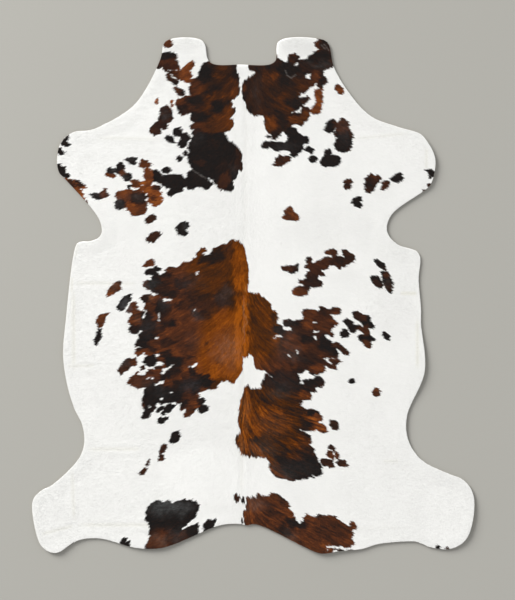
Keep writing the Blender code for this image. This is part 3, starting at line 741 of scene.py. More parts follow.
# Where the dark hair is golden rather than red: (middle, half sizes, amount).
GOLD_AREAS = (
    ((241, 310), (16, 80), 1.0),
    ((222, 350), (24, 42), 0.9),
    ((262, 325), (20, 36), 0.9),
    ((265, 425), (42, 42), 0.9),
    ((212, 272), (24, 26), 0.8),
    ((221, 105), (20, 42), 0.45),
    ((275, 105), (36, 42), 0.40),
)
WHITE_HAIR = (0.862, 0.862, 0.842)
WHITE_CLOUDS = (
    # amount, size, shift of the noise
    (0.020, 0.16, 0.0),
    (0.014, 0.05, 4.4),
)
# painted shade: the white darkens to the right, away from the key light
PAINTED_SHADE_SLOPE = 0.022  # how much darker the white is for each metre to the right

# Painted sheen, the paler reflection of the glossy lying hair: (middle, half sizes, amount,
# colour).
PAINTED_SHEEN_AREAS = (
    ((221, 350), (12, 16), 0.12, (0.27, 0.16, 0.12)),
    ((196, 340), (10, 12), 0.06, (0.22, 0.13, 0.10)),
    ((190, 282), (14, 10), 0.09, (0.13, 0.10, 0.10)),
    ((224, 298), (9, 11), 0.10, (0.13, 0.10, 0.10)),
    ((190, 385), (10, 8), 0.12, (0.11, 0.11, 0.12)),
    ((161, 392), (8, 6), 0.08, (0.11, 0.11, 0.11)),
    ((148, 285), (8, 6), 0.16, (0.17, 0.17, 0.17)),
    ((256, 94), (5, 16), 0.06, (0.17, 0.13, 0.12)),
    ((320, 65), (14, 4), 0.14, (0.14, 0.13, 0.12)),
    ((282, 384), (14, 9), 0.06, (0.14, 0.11, 0.11)),
    ((245, 412), (5, 18), 0.08, (0.38, 0.22, 0.12)),
    ((242, 442), (5, 10), 0.10, (0.38, 0.24, 0.14)),
    ((256, 505), (12, 9), 0.13, (0.28, 0.18, 0.14)),
    ((158, 540), (9, 6), 0.14, (0.22, 0.17, 0.14)),
    ((170, 507), (24, 9), 0.22, (0.18, 0.19, 0.19)),
    ((185, 226), (6, 6), 0.14, (0.14, 0.14, 0.14)),
    ((165, 115), (6, 8), 0.12, (0.13, 0.13, 0.13)),
    ((296, 356), (8, 8), 0.08, (0.22, 0.18, 0.17)),
    ((178, 536), (10, 8), 0.10, (0.16, 0.16, 0.16)),
    ((116, 285), (6, 6), 0.10, (0.26, 0.18, 0.14)),
    ((287, 537), (10, 6), 0.09, (0.20, 0.16, 0.14)),
    ((226, 294), (6, 5), 0.10, (0.22, 0.14, 0.11)),
    ((148, 326), (10, 8), 0.07, (0.16, 0.14, 0.14)),
    ((286, 146), (12, 5), 0.08, (0.13, 0.13, 0.13)),
    ((287, 476), (10, 6), 0.08, (0.16, 0.15, 0.14)),
    ((262, 450), (16, 12), 0.08, (0.26, 0.19, 0.15)),
    ((272, 425), (18, 14), 0.05, (0.24, 0.17, 0.14)),
    ((126, 306), (6, 6), 0.22, (0.16, 0.16, 0.17)),
    ((195, 315), (7, 6), 0.12, (0.24, 0.17, 0.15)),
    ((135, 197), (8, 5), 0.14, (0.20, 0.14, 0.12)),
    ((125, 176), (4, 4), 0.20, (0.16, 0.14, 0.13)),
    ((125, 365), (6, 5), 0.10, (0.20, 0.18, 0.18)),
    ((284, 338), (12, 22), 0.07, (0.22, 0.17, 0.15)),
    ((276, 394), (12, 6), 0.08, (0.20, 0.15, 0.12)),
    ((233, 350), (12, 22), 0.10, (0.42, 0.24, 0.15)),
    ((276, 467), (10, 8), 0.06, (0.22, 0.17, 0.15)),
    ((195, 137), (9, 8), 0.06, (0.13, 0.13, 0.13)),
    ((235, 172), (6, 8), 0.08, (0.13, 0.12, 0.12)),
    ((164, 303), (6, 6), 0.08, (0.14, 0.13, 0.13)),
    ((387, 285), (5, 5), 0.10, (0.17, 0.12, 0.10)),
    ((145, 383), (12, 7), 0.06, (0.20, 0.15, 0.13)),
    ((298, 468), (18, 10), 0.04, (0.14, 0.14, 0.14)),
    ((120, 203), (6, 6), 0.18, (0.13, 0.12, 0.12)),
    ((113, 171), (5, 4), 0.18, (0.13, 0.12, 0.12)),
    ((97, 195), (8, 4), 0.15, (0.13, 0.12, 0.12)),
    ((130, 160), (7, 4), 0.15, (0.13, 0.12, 0.12)),
    ((344, 128), (8, 16), 0.08, (0.14, 0.12, 0.12)),
    ((137, 318), (5, 6), 0.08, (0.28, 0.18, 0.13)),
    ((152, 298), (4, 4), 0.14, (0.35, 0.22, 0.15)),
    ((244.6, 320), (0.9, 26), 0.22, (0.50, 0.25, 0.10)),
    ((243.5, 287), (1.2, 6), 0.35, (0.60, 0.32, 0.10)),
)

SHEEN_REACH = 1.5  # where it ends, as a share of the half sizes
SHEEN_PATCHES = 0.009  # size of the noise that breaks it up
SHEEN_LEAST = 0.4
SHEEN_RANGE = 1.2
SHEEN_SHIFT = 2.9

# Single pale hairs over the dark ones: (start, end, half width in metres, amount).
PALE_HAIRS = (
    ((192.5, 170), (199, 174), 0.0015, 0.30),
    ((199, 174), (206, 178.5), 0.0015, 0.24),
    ((285.5, 70), (286.5, 75), 0.0018, 0.22),
    ((286.5, 75), (291, 78), 0.0018, 0.22),
    ((291, 78), (296, 75), 0.0018, 0.22),
    ((321, 45), (325, 49), 0.0016, 0.22),
    ((324, 44.5), (329, 51), 0.0016, 0.22),
    ((243.6, 296), (244.6, 342), 0.0018, 0.06),
)
PALE_HAIR_COLOUR = (0.42, 0.38, 0.35)
PALE_HAIR_SOFTNESS = 2.0

# Painted shade on the white hair, below 0 painted light: (middle, half sizes, amount).
PAINTED_LIGHT_AND_SHADE_AREAS = (
    ((298, 48), (16, 9), 0.080),
    ((325, 232), (45, 22), 0.025),
    ((55, 525), (24, 20), 0.035),
    ((395, 300), (18, 60), 0.020),
    ((205, 475), (45, 28), -0.050),
    ((140, 105), (26, 20), -0.030),
    ((447, 515), (24, 26), -0.035),
)

# How the edges of the markings, tone areas and gloss wander: (reach, size), in metres.
EDGE_WANDER = ((0.0040, 0.0080),)
TONE_WANDER = ((0.0180, 0.0220), (0.0110, 0.0080))
SHEEN_WANDER = ((0.0300, 0.0300), (0.0150, 0.0100))
WANDER_SHIFT = 1.7  # of the noise for the second direction

# How the soft areas below end, as shares of their half sizes.
AREA_EDGE = 1.35
AREA_SOFTNESS = 0.6
AREA_SEARCH = 1.7  # wide enough to find all points that an area can reach

# Tone areas inside the markings: (middle in chart steps, half sizes, turn in degrees, tone,
# strength).  Each blends its own tone over the tone of the marking, soft towards its edge.
TONE_AREAS = (
    # the left ear and cheek
    ((168, 54), (10, 3.4), 0, 0.0, 0.9),
    ((160, 66), (3.5, 3), 0, 0.03, 0.8),
    ((170, 63.5), (10, 5), 10, 0.42, 0.85),
    ((177, 74), (5, 5), 30, 0.46, 0.8),
    ((170, 76.5), (3.5, 2.5), 40, 0.42, 0.8),
    ((175, 81.5), (4, 3), 30, 0.02, 0.9),
    ((187, 74), (6, 9), 0, 0.74, 0.9),
    ((189, 65), (4, 4), 0, 0.56, 0.8),
    ((183, 91.5), (3.5, 4), 0, 0.0, 0.9),
    ((177, 89), (2.5, 2.5), 0, 0.45, 0.8),
    ((182, 97), (3, 2), 40, 0.5, 0.7),
    ((184, 110), (8, 6), 0, 0.08, 0.9),
    ((181, 102), (5, 4), 0, 0.52, 0.8),
    ((188, 100), (5, 4), 0, 0.1, 0.7),
    # the left side of the neck
    ((205, 74), (8, 11), 10, 0.0, 0.95),
    ((214, 68), (5, 5), 0, 0.05, 0.6),
    ((235, 71), (4.5, 8), -10, 0.03, 0.85),
    ((222, 68), (5, 3), 0, 0.45, 0.6),
    ((218.5, 76.5), (2.5, 2.5), 0, 0.58, 0.8),
    ((227, 80), (6, 5), 0, 0.35, 0.6),
    ((196, 88), (6, 7), 0, 0.42, 0.7),
    ((201, 90), (4, 4), 0, 0.50, 0.7),
    ((208, 93), (4, 3.5), 0, 0.06, 0.8),
    ((213, 87), (4, 3), 0, 0.1, 0.7),
    ((219, 95), (8, 5), 0, 0.46, 0.8),
    ((219.5, 88.5), (3, 2.5), 0, 0.0, 0.8),
    ((226, 92), (5, 5), 0, 0.35, 0.6),
    ((235, 90), (4, 8), 0, 0.52, 0.75),
    ((197, 101), (8, 5), 0, 0.03, 0.85),
    ((207, 102), (4, 5), 0, 0.44, 0.7),
    ((217.5, 107), (7, 6.5), 0, 0.0, 0.95),
    ((230, 110), (5, 6), 0, 0.50, 0.8),
    ((199, 110.5), (8, 2), 0, 0.40, 0.6),
    ((200, 117), (11, 5), 0, 0.02, 0.9),
    ((224, 122), (13, 9), 0, 0.54, 0.85),
    ((229, 122), (5, 6), 0, 0.64, 0.7),
    ((198, 125.5), (6, 3.5), 0, 0.42, 0.8),
    ((207, 127), (5, 4), 0, 0.45, 0.6),
    ((213, 131), (9, 3), 0, 0.50, 0.7),
    ((198, 132), (5, 2.5), 0, 0.1, 0.7),
    # the right side of the neck
    ((275, 67), (12, 3.5), 0, 0.06, 0.7),
    ((256, 69), (7, 4), 0, 0.12, 0.8),
    ((264.5, 66), (2.5, 1.5), 0, 0.5, 0.6),
    ((290, 68), (12, 9), 0, 0.0, 0.9),
    ((293.5, 58), (5.5, 4.5), 0, 0.30, 0.8),
    ((316, 57), (17, 6), 0, 0.0, 0.95),
    ((326, 46), (6, 8), 0, 0.04, 0.8),
    ((317, 45.5), (3, 4), 0, 0.5, 0.8),
    ((298, 76), (5, 5), 0, 0.16, 0.7),
    ((319, 65), (14, 4), 0, 0.10, 0.9),
    ((275, 76), (3, 3), 0, 0.48, 0.8),
    ((266, 80), (6, 3), 0, 0.44, 0.7),
    ((285, 82), (8, 9), 0, 0.04, 0.85),
    ((245.5, 81), (4, 3), 0, 0.02, 0.85),
    ((245, 88.5), (3, 4), 0, 0.45, 0.8),
    ((245, 97), (3.5, 6), 0, 0.02, 0.85),
    ((251, 98), (4, 16), 0, 0.15, 0.8),
    ((257, 94), (5, 19), 0, 0.20, 0.8),
    ((267, 88), (5, 5), 0, 0.30, 0.75),
    ((273, 93), (5, 7), 0, 0.22, 0.7),
    ((285, 96), (5, 4), 10, 0.42, 0.85),
    ((277, 102), (5, 3.5), 0, 0.30, 0.7),
    ((276, 114), (5, 5), 0, 0.10, 0.8),
    ((267, 103), (5, 5), 0, 0.12, 0.6),
    ((292, 90), (5, 5), 0, 0.1, 0.6),
    ((302, 84), (4.5, 7), 20, 0.38, 0.8),
    ((313, 79), (5, 7), 15, 0.48, 0.9),
    ((321, 76), (3.5, 9), 0, 0.04, 0.85),
    ((305, 72), (5, 4), 0, 0.15, 0.6),
    ((295, 104), (8, 6), 0, 0.03, 0.85),
    ((303, 98), (5, 3), -20, 0.12, 0.8),
    ((285, 109), (5, 3), 0, 0.36, 0.6),
    ((270, 124), (6, 8), 0, 0.60, 0.9),
    ((283, 121), (5, 8), 0, 0.06, 0.85),
    ((295, 115), (5, 2.5), 0, 0.02, 0.9),
    ((304, 110), (4, 3), 0, 0.15, 0.7),
    ((295, 119), (7, 4), 0, 0.52, 0.85),
    ((304, 117), (4.5, 5), 0, 0.50, 0.8),
    ((276, 135), (6, 5), 0, 0.03, 0.9),
    ((318, 100), (5, 14), 0, 0.62, 0.8),
    # the shoulders and arms
    ((164, 118), (8, 12), 20, 0.16, 0.8),
    ((170, 107), (2.5, 4), 0, 0.75, 0.8),
    ((239, 160), (4, 14), 0, 0.27, 0.7),
    ((226, 168), (9, 8), -40, 0.15, 0.6),
    ((224, 181), (5, 9), 35, 0.40, 0.8),
    ((200, 163), (6, 3), 20, 0.26, 0.7),
    ((213, 143), (8, 5), 0, 0.14, 0.5),
    ((148, 175), (5, 9), 0, 0.62, 0.8),
    ((158, 187), (5, 3), 0, 0.1, 0.8),
    ((154.5, 198), (3, 3), 0, 0.1, 0.7),
    ((104.5, 193), (5, 5), 0, 0.52, 0.9),
    ((123, 171), (3, 4), 0, 0.55, 0.85),
    ((120, 166), (4, 3), 0, 0.0, 0.8),
    ((138, 199), (10, 5.5), 0, 0.04, 0.9),
    ((124, 195), (6, 5), 0, 0.62, 0.7),
    ((130, 207), (6, 5), 0, 0.72, 0.7),
    ((80, 184), (5, 4), 30, 0.12, 0.85),
    ((71, 184), (2, 5), -40, 0.1, 0.7),
    ((343, 124), (9, 9), 0, 0.36, 0.8),
    ((343, 143), (11, 10), 0, 0.0, 0.9),
    ((377, 178), (3, 3), 0, 0.48, 0.8),
    ((371, 185), (8, 7), 0, 0.12, 0.9),
    ((114, 289), (5, 5), 0, 0.55, 0.6),
    ((119, 283), (4, 3), 0, 0.1, 0.7),
    ((109, 294), (4, 3), 0, 0.8, 0.7),
    # the saddle, upper part
    ((166, 274), (6, 3), 0, 0.0, 0.9),
    ((184, 267), (17, 5), -8, 0.47, 0.85),
    ((205, 258), (8, 5), -30, 0.03, 0.8),
    ((216, 255), (10, 7), -35, 0.05, 0.9),
    ((219, 248), (7, 3), -15, 0.36, 0.7),
    ((229, 250), (5, 9), 15, 0.34, 0.8),
    ((200.5, 252), (3.5, 4), 0, 0.36, 0.7),
    ((155, 285), (7, 13), 0, 0.0, 0.95),
    ((165, 288), (8, 7), 0, 0.17, 0.85),
    ((171, 279), (9, 4), 0, 0.30, 0.8),
    ((180, 284), (6, 5), 0, 0.06, 0.85),
    ((190, 281), (8, 8), 0, 0.22, 0.8),
    ((170, 294), (10, 3.5), 0, 0.04, 0.85),
    ((190, 295), (13, 5), 0, 0.27, 0.85),
    ((206, 296.5), (9, 4), -10, 0.14, 0.8),
    ((210, 277), (12, 12), -20, 0.40, 0.85),
    ((222, 269), (9, 10), 0, 0.42, 0.7),
    ((239, 264), (7, 24), -3, 0.80, 0.95),
    ((239, 285), (6, 10), 0, 0.90, 0.85),
    ((245, 297), (4, 12), 0, 0.84, 0.85),
    ((229, 285), (5, 5), 0, 0.26, 0.8),
    ((224, 298), (9, 10), 0, 0.12, 0.85),
    ((236, 293), (5, 2.5), 0, 0.25, 0.7),
    ((207, 307), (10, 7), 0, 0.26, 0.8),
    ((193, 304), (8, 5), 0, 0.24, 0.8),
    ((194, 314), (4.5, 3), 20, 0.0, 0.9),
    ((203, 315), (6, 5), 0, 0.12, 0.8),
    ((158, 306), (6, 6), 0, 0.0, 0.85),
    ((167, 309), (6, 6), 0, 0.06, 0.8),
    ((153, 298), (5, 4.5), 0, 0.60, 0.85),
    ((145, 299), (6, 4.5), 0, 0.02, 0.9),
    ((149, 307), (5, 4), 0, 0.48, 0.8),
    ((180, 305), (7, 4), 0, 0.22, 0.8),
    # the saddle, left part
    ((147, 316), (5, 5), 0, 0.02, 0.85),
    ((150, 330), (8, 16), 0, 0.0, 0.9),
    ((136, 329.5), (9, 4.5), 0, 0.02, 0.9),
    ((141, 341), (7, 9), 0, 0.0, 0.95),
    ((155.5, 315.5), (2.5, 4), 0, 0.62, 0.8),
    ((161.5, 316), (2.5, 5), 0, 0.0, 0.8),
    ((177, 320), (14, 9), 0, 0.54, 0.9),
    ((166, 326), (7, 3), -20, 0.05, 0.7),
    ((174, 324.5), (3, 3), 0, 0.0, 0.9),
    ((160, 333), (6, 4), -15, 0.45, 0.8),
    ((163, 322), (4, 2), 0, 0.1, 0.6),
    ((180, 336), (13, 8), -10, 0.40, 0.8),
    ((193, 334), (8, 12), 0, 0.52, 0.8),
    ((205, 330), (9, 12), 0, 0.66, 0.8),
    ((168, 343), (8, 5), -10, 0.12, 0.8),
    ((155, 343.5), (6, 3), -10, 0.45, 0.8),
    ((185, 346), (8, 4), -15, 0.34, 0.7),
    ((152, 350), (5, 3), 0, 0.0, 0.8),
    ((167, 356), (6, 5), 0, 0.03, 0.85),
    ((182, 353.5), (6, 3.5), -10, 0.52, 0.8),
    ((176, 361), (11, 5), 0, 0.0, 0.95),
    ((191, 356), (3, 2), 0, 0.05, 0.7),
    ((187.5, 363), (3.5, 4), 0, 0.42, 0.7),
    ((186, 370), (3.5, 5), 0, 0.60, 0.85),
    ((194, 371), (3.5, 5), 0, 0.02, 0.9),
    # the saddle, the bright side
    ((226, 328), (14, 18), 0, 0.79, 0.95),
    ((213, 345), (11, 14), 0, 0.80, 0.9),
    ((231, 358), (10, 13), 0, 0.86, 0.85),
    ((238.5, 335), (3.5, 34), 0, 1.0, 1.0),
    ((245.5, 328), (3.4, 34), 0, 1.0, 0.95),
    ((241.8, 318), (1.3, 16), 0, 0.62, 0.7),
    ((249.5, 300), (2.5, 8), 0, 0.7, 0.6),
    ((205, 362), (10, 12), 0, 0.76, 0.9),
    ((216, 372), (7, 8), 0, 0.85, 0.95),
    ((226, 370), (5, 7), 20, 0.84, 0.85),
    ((235, 375), (5, 7), 15, 0.84, 0.9),
    ((207.5, 343), (2, 2), 0, 0.2, 0.6),
    ((208.5, 349), (1.5, 1.5), 0, 0.25, 0.6),
    # the saddle, lower left
    ((142, 381), (13, 6.5), -5, 0.42, 0.95),
    ((156, 374.5), (6, 4.5), 0, 0.42, 0.9),
    ((147, 371.5), (4, 2), 0, 0.1, 0.7),
    ((166, 377), (6, 5), 0, 0.0, 0.9),
    ((173, 370), (8, 6), 0, 0.06, 0.9),
    ((177, 389), (7, 9), 0, 0.02, 0.9),
    ((168.5, 384), (4, 4), 0, 0.54, 0.85),
    ((190, 385), (9, 8), 0, 0.03, 0.9),
    ((206, 383), (12, 5), 5, 0.0, 0.95),
    ((215, 386), (5, 3), 10, 0.36, 0.85),
    ((203, 377), (8, 3), 15, 0.0, 0.85),
    ((153, 397), (13, 14), 0, 0.0, 0.97),
    ((170, 396), (12, 9), 0, 0.0, 0.95),
    ((146, 413), (7, 8), 0, 0.0, 0.95),
    ((190, 396), (6, 6), 0, 0.33, 0.85),
    ((197.5, 403), (4, 3), -40, 0.60, 0.85),
    ((195, 391), (5, 4), 0, 0.02, 0.85),
    ((184, 405), (5, 5), -20, 0.0, 0.9),
    ((202, 401), (5, 4), 0, 0.05, 0.9),
    ((190, 411), (6, 5), -30, 0.42, 0.9),
    ((203, 409), (6, 5), 0, 0.0, 0.95),
    # the lobe right of the saddle
    ((260, 322), (11, 28), -8, 0.45, 0.9),
    ((264, 338), (8, 12), 0, 0.38, 0.7),
    ((254, 330), (3.5, 30), 0, 0.46, 0.6),
    ((262, 298), (6, 4), 0, 0.36, 0.7),
    ((273.5, 318), (3.5, 6), 0, 0.2, 0.8),
    ((267, 325), (4, 3), 30, 0.60, 0.75),
    ((279, 329.5), (5, 5.2), 0, 0.0, 0.97),
    ((262, 360), (8, 9), 0, 0.62, 0.85),
    ((277, 356), (9, 13), 0, 0.44, 0.85),
    ((265, 368), (8, 3), 0, 0.50, 0.7),
    # the right loin
    ((293, 323), (11, 4), 0, 0.02, 0.9),
    ((310, 319), (8, 11), 0, 0.58, 0.9),
    ((319, 323), (6, 6), 0, 0.38, 0.8),
    ((323, 313), (5, 7), 0, 0.33, 0.8),
    ((336, 311), (6, 4), 0, 0.50, 0.8),
    ((330, 322), (7, 5), 0, 0.42, 0.8),
    ((325, 333), (4, 3), 0, 0.45, 0.7),
    ((291, 341), (8, 10), 0, 0.42, 0.9),
    ((293, 337), (4, 3), 0, 0.55, 0.7),
    ((308, 338.5), (6.5, 3.5), 0, 0.02, 0.9),
    ((310, 347), (9, 6), 0, 0.38, 0.8),
    ((326, 343), (8, 8), 0, 0.0, 0.95),
    ((333.5, 353), (4, 6), 0, 0.0, 0.9),
    ((309, 358), (9, 6), 0, 0.14, 0.8),
    ((324, 354), (6, 3.5), 0, 0.34, 0.8),
    ((308, 365), (5, 5), 0, 0.08, 0.8),
    ((319, 368), (8, 5), 0, 0.52, 0.9),
    ((335, 363), (7, 5), 0, 0.38, 0.8),
    ((290, 363), (9, 8), 0, 0.42, 0.8),
    ((298, 371), (6, 3), 0, 0.12, 0.7),
    # the rump
    ((281, 381), (22, 10), 0, 0.15, 0.95),
    ((292, 386), (10, 6), 0, 0.04, 0.8),
    ((313, 381), (12, 7), 0, 0.0, 0.9),
    ((268, 380), (6, 7), 0, 0.06, 0.85),
    ((306, 396), (6, 5), 0, 0.56, 0.95),
    ((306, 387), (6, 4), 0, 0.05, 0.9),
    ((266, 392), (12, 4), 25, 0.42, 0.7),
    ((281, 403), (18, 8), 15, 0.25, 0.85),
    ((245, 410), (8, 24), 0, 0.73, 0.9),
    ((255, 426), (9, 16), 20, 0.68, 0.85),
    ((272, 418), (20, 12), 25, 0.57, 0.9),
    ((303, 415), (4, 8), 0, 0.16, 0.8),
    ((306.5, 416), (4, 4), 0, 0.55, 0.8),
    ((313.5, 412.8), (5, 3.6), 10, 0.0, 0.95),
    ((315, 419), (8, 3.5), 0, 0.62, 0.9),
    ((307, 423.5), (5.5, 3), 0, 0.02, 0.9),
    ((319, 427), (8, 6), 30, 0.66, 0.95),
    ((303.5, 428.5), (3.5, 4), 0, 0.02, 0.9),
    ((296, 441), (15, 9), 20, 0.36, 0.85),
    ((308, 437), (4, 6), 0, 0.20, 0.7),
    ((242, 444), (7, 12), 0, 0.64, 0.9),
    ((256, 446), (9, 6), 25, 0.68, 0.85),
    ((263, 445), (14, 2.6), 32, 0.12, 0.8),
    ((264, 453), (7, 5), 0, 0.48, 0.8),
    ((299, 466), (25, 14), 15, 0.0, 0.95),
    ((275, 467), (6, 11), -30, 0.36, 0.85),
    ((295, 456), (9, 3), 10, 0.40, 0.75),
    # the right back
    ((320, 264), (11, 4), -15, 0.36, 0.8),
    ((335, 259), (7, 3), 0, 0.36, 0.7),
    ((348, 256), (6, 4), 0, 0.30, 0.8),
    ((299, 292), (8, 4.5), 0, 0.58, 0.85),
    ((288, 268), (9, 5), 0, 0.30, 0.9),
    ((312, 280), (9, 8), 0, 0.13, 0.8),
    ((340, 260), (12, 3), -10, 0.10, 0.75),
    ((387, 272), (4, 4), 0, 0.44, 0.8),
    ((376, 284), (6, 5), 0, 0.24, 0.8),
    ((389, 288), (4, 5), 0, 0.28, 0.8),
    ((331, 252), (7, 4), 0, 0.35, 0.8),
    ((386, 280), (4, 4), 0, 0.04, 0.6),
    ((359, 315), (6, 5), 0, 0.4, 0.7),
    ((363, 330), (7, 5), 0, 0.45, 0.8),
    ((366, 344), (6, 5), 0, 0.66, 0.8),
    ((335, 344), (4, 4), 0, 0.66, 0.7),
    ((135, 361), (5, 5), 0, 0.5, 0.7),
    # the buttocks
    ((160, 541), (14, 11), -10, 0.50, 0.9),
    ((184, 537), (6, 6), 0, 0.40, 0.8),
    ((193, 531), (7, 7), 0, 0.0, 0.9),
    ((175, 540), (8, 7), 0, 0.25, 0.7),
    ((257, 506), (13, 10), 0, 0.51, 0.9),
    ((246, 515), (3, 6), 0, 0.66, 0.85),
    ((280, 502), (10, 8), 20, 0.37, 0.85),
    ((274, 513), (12, 3), 12, 0.18, 0.8),
    ((268, 521), (17, 4.5), 15, 0.46, 0.85),
    ((296, 523.5), (10, 5), 15, 0.02, 0.95),
    ((304, 538), (16, 6), 25, 0.43, 0.85),
    ((293, 537.5), (5, 3), 30, 0.62, 0.85),
    ((312, 519), (8, 5), 0, 0.34, 0.8),
    ((319.5, 516), (4, 2.5), 0, 0.04, 0.8),
    ((333, 528), (18, 11), 5, 0.31, 0.9),
    ((336, 546), (6, 4), 0, 0.28, 0.8),
    ((345, 542), (7, 4), 0, 0.44, 0.8),
    ((318, 548), (12, 4), 5, 0.45, 0.8),
    ((284, 531), (8, 4), 30, 0.05, 0.9),
)

# How strongly the dark tones alternate: (middle, half sizes, streaks, blotches).
BRINDLE_AREAS = (
    ((275, 425), (55, 60), 0.58, 0.10),
    ((295, 525), (65, 38), 0.36, 0.20),
    ((262, 335), (22, 48), 0.34, 0.10),
    ((215, 95), (35, 50), 0.18, 0.24),
    ((290, 90), (55, 50), 0.18, 0.24),
    ((175, 320), (55, 60), 0.22, 0.22),
    ((310, 345), (36, 40), 0.18, 0.26),
    ((217, 330), (28, 60), 0.18, 0.05),
    ((215, 160), (40, 35), 0.10, 0.10),
)
BRINDLE_ELSEWHERE = (0.12, 0.18)
STREAK_STEPS = 9.0
BRINDLE_LAYERS = (
    # for the streaks and then the blotches: share, width, length, contrast, noise shift
    ((0.40, 0.0065, 0.065, 5.0, 0.0), (0.60, 0.0034, 0.050, 5.0, 5.3)),
    ((0.60, 0.0160, 0.022, 4.0, 9.7), (0.40, 0.0065, 0.013, 4.0, 13.1)),
)
BRINDLE_RISE = 1.8  # how fast it grows with the tone, from BRINDLE_LEAST on
BRINDLE_LEAST = 0.30

# How the fold marks colour the white hair: a sharp dark line and a broader warm tint.
CREASE_LINE = 0.0035
CREASE_LINE_RISE = 4.0
# the dark line is partly painted shade in the fold and partly the hair parted along it
CREASE_DARKNESS = 0.10
CREASE_TINT_REACH = 0.8  # as a share of the half width
CREASE_TINT = (0.03, 0.045, 0.13)

# Fold marks and lifted rims, as in the solid, in millimetres.
CREASES = (
    # kind, start, end, height, half width, warmth of the hair on it
    ("trough", (-28, 930), (-34, 120), 2.5, 20, 0.05),
    ("trough", (-40, -110), (-50, -930), 3.0, 20, 0.12),
    ("ridge", (-670, 672), (-385, 666), 2.5, 16, 0.20),
    ("ridge", (425, 668), (665, 690), 2.5, 16, 0.20),
    ("trough", (-770, 52), (-490, 50), 3.5, 18, 0.25),
    ("trough", (-795, -302), (-670, -300), 3.0, 16, 0.25),
    ("ridge", (-767, 30), (-764, -330), 3.5, 18, 0.40),
    ("trough", (-710, -657), (-470, -655), 3.5, 18, 0.30),
    ("ridge", (-772, -745), (-762, -965), 3.0, 16, 0.28),
    ("trough", (-905, -1018), (-765, -982), 3.5, 16, 0.30),
    ("trough", (-755, -980), (-320, -978), 4.0, 18, 0.30),
    ("ridge", (200, -992), (690, -990), 2.5, 18, 0.05),
    ("ridge", (550, -708), (625, -706), 2.5, 16, 0.20),
    ("trough", (625, 8), (700, 8), 3.0, 16, 0.60),
    ("ridge", (700, -95), (700, -320), 3.5, 16, 0.50),
    ("ridge", (738, 630), (738, 535), 3.0, 14, 0.35),
    ("trough", (205, 985), (330, 982), 3.0, 16, 0.20),
    ("ridge", (-748, 226), (-757, 162), 2.5, 12, 0.22),
    ("ridge", (-771, 80), (-774, 12), 2.5, 12, 0.40),
)
RIM_LIFTS = (
    # centre, reach, height
    ((-300, 1095), 150, 5.0),
    ((215, 1090), 150, 6.0),
    ((-835, 590), 170, 4.0),
    ((780, 580), 190, 7.0),
    ((620, 225), 120, 3.0),
    ((-812, -250), 150, 3.0),
    ((735, -290), 210, 7.0),
    ((650, -560), 120, 3.0),
    ((-880, -1095), 200, 6.0),
    ((-440, -1080), 180, 5.0),
    ((315, -1105), 200, 7.0),
    ((930, -960), 220, 7.0),
)

# How the hair lies: degrees away from straight back, by the distance from the spine.
SPINE_TOP = (246.0, 62.0)
SPINE_BOTTOM = (241.5, 528.0)
FLOW_MOST = 68.0
FLOW_REACH = 0.078
FLOW_SWAYS = (
    # degrees, size, shift of the noise
    (22.0, 0.11, 0.0),
    (9.0, 0.03, 3.1),
)

SEED = 4117
LATTICE_SIZE = 512
NOISE_ORIGIN = 211.37  # keeps the noise's cells above 0
rng = np.random.default_rng(SEED)
LATTICE = rng.random((LATTICE_SIZE, LATTICE_SIZE))


def from_chart(points):
    """Chart steps as metres in the row frame."""
    points = np.asarray(points, dtype=float).reshape(-1, 2)
    return (points - CHART_MIDDLE) * (CHART_STEP, -CHART_STEP)


def bump(distance):
    """A smooth hump, 1 in the middle and 0 from a distance of 1 outwards."""
    return np.clip(1.0 - distance ** 2, 0.0, None) ** 2


def smoothed(share):
    """The share from 0 to 1 with soft ends."""
    return share * share * (3.0 - 2.0 * share)


def towards_middle(share):
    """1 over most of a line and 0 at both its ends."""
    return np.clip(8.0 * share * (1.0 - share), 0.0, 1.0)


def along_and_across(points, start, end):
    """How far along a segment each point is, from 0 to 1, and its distance from it."""
    axis = end - start
    share = np.clip((points - start) @ axis / (axis @ axis), 0.0, 1.0)
    nearest = start + share[:, None] * axis
    return share, np.linalg.norm(points - nearest, axis=1)


def inside(points, loop):
    """True for each point that lies inside the loop."""
    result = np.zeros(len(points), dtype=bool)
    low, high = loop.min(axis=0), loop.max(axis=0)
    near = np.nonzero(((points >= low) & (points <= high)).all(axis=1))[0]
    x, y = points[near].T
    found = np.zeros(len(near), dtype=bool)
    for a, b in zip(loop, np.roll(loop, -1, axis=0)):
        if a[1] != b[1]:
            crosses = (a[1] > y) != (b[1] > y)
            found ^= crosses & (x < a[0] + (y - a[1]) * (b[0] - a[0]) / (b[1] - a[1]))
    result[near] = found
    return result


def rim_map(rim):
    low = rim.min(axis=0) - RIM_MAP_REACH - RIM_MAP_CELL
    high = rim.max(axis=0) + RIM_MAP_REACH
    columns, rows = np.ceil((high - low) / RIM_MAP_CELL).astype(int) + 2
    x = low[0] + RIM_MAP_CELL * np.arange(columns)
    y = low[1] + RIM_MAP_CELL * np.arange(rows)
    nearest = np.full((rows, columns), RIM_MAP_REACH)
    within = np.zeros((rows, columns), dtype=bool)
    for a, b in zip(rim, np.roll(rim, -1, axis=0)):
        first = ((np.minimum(a, b) - RIM_MAP_REACH - low) / RIM_MAP_CELL).astype(int)
        last = ((np.maximum(a, b) + RIM_MAP_REACH - low) / RIM_MAP_CELL).astype(int) + 2
        part = np.s_[first[1]:last[1], first[0]:last[0]]
        points = np.stack(np.meshgrid(x[part[1]], y[part[0]]), axis=-1)
        distance = along_and_across(points.reshape(-1, 2), a, b)[1]
        nearest[part] = np.minimum(nearest[part], distance.reshape(points.shape[:2]))
        crossed = (a[1] > y) != (b[1] > y)
        if crossed.any():
            at = a[0] + (y[crossed] - a[1]) * (b[0] - a[0]) / (b[1] - a[1])
            within[crossed] ^= x[None, :] < at[:, None]
    return low, np.where(within, nearest, -nearest)


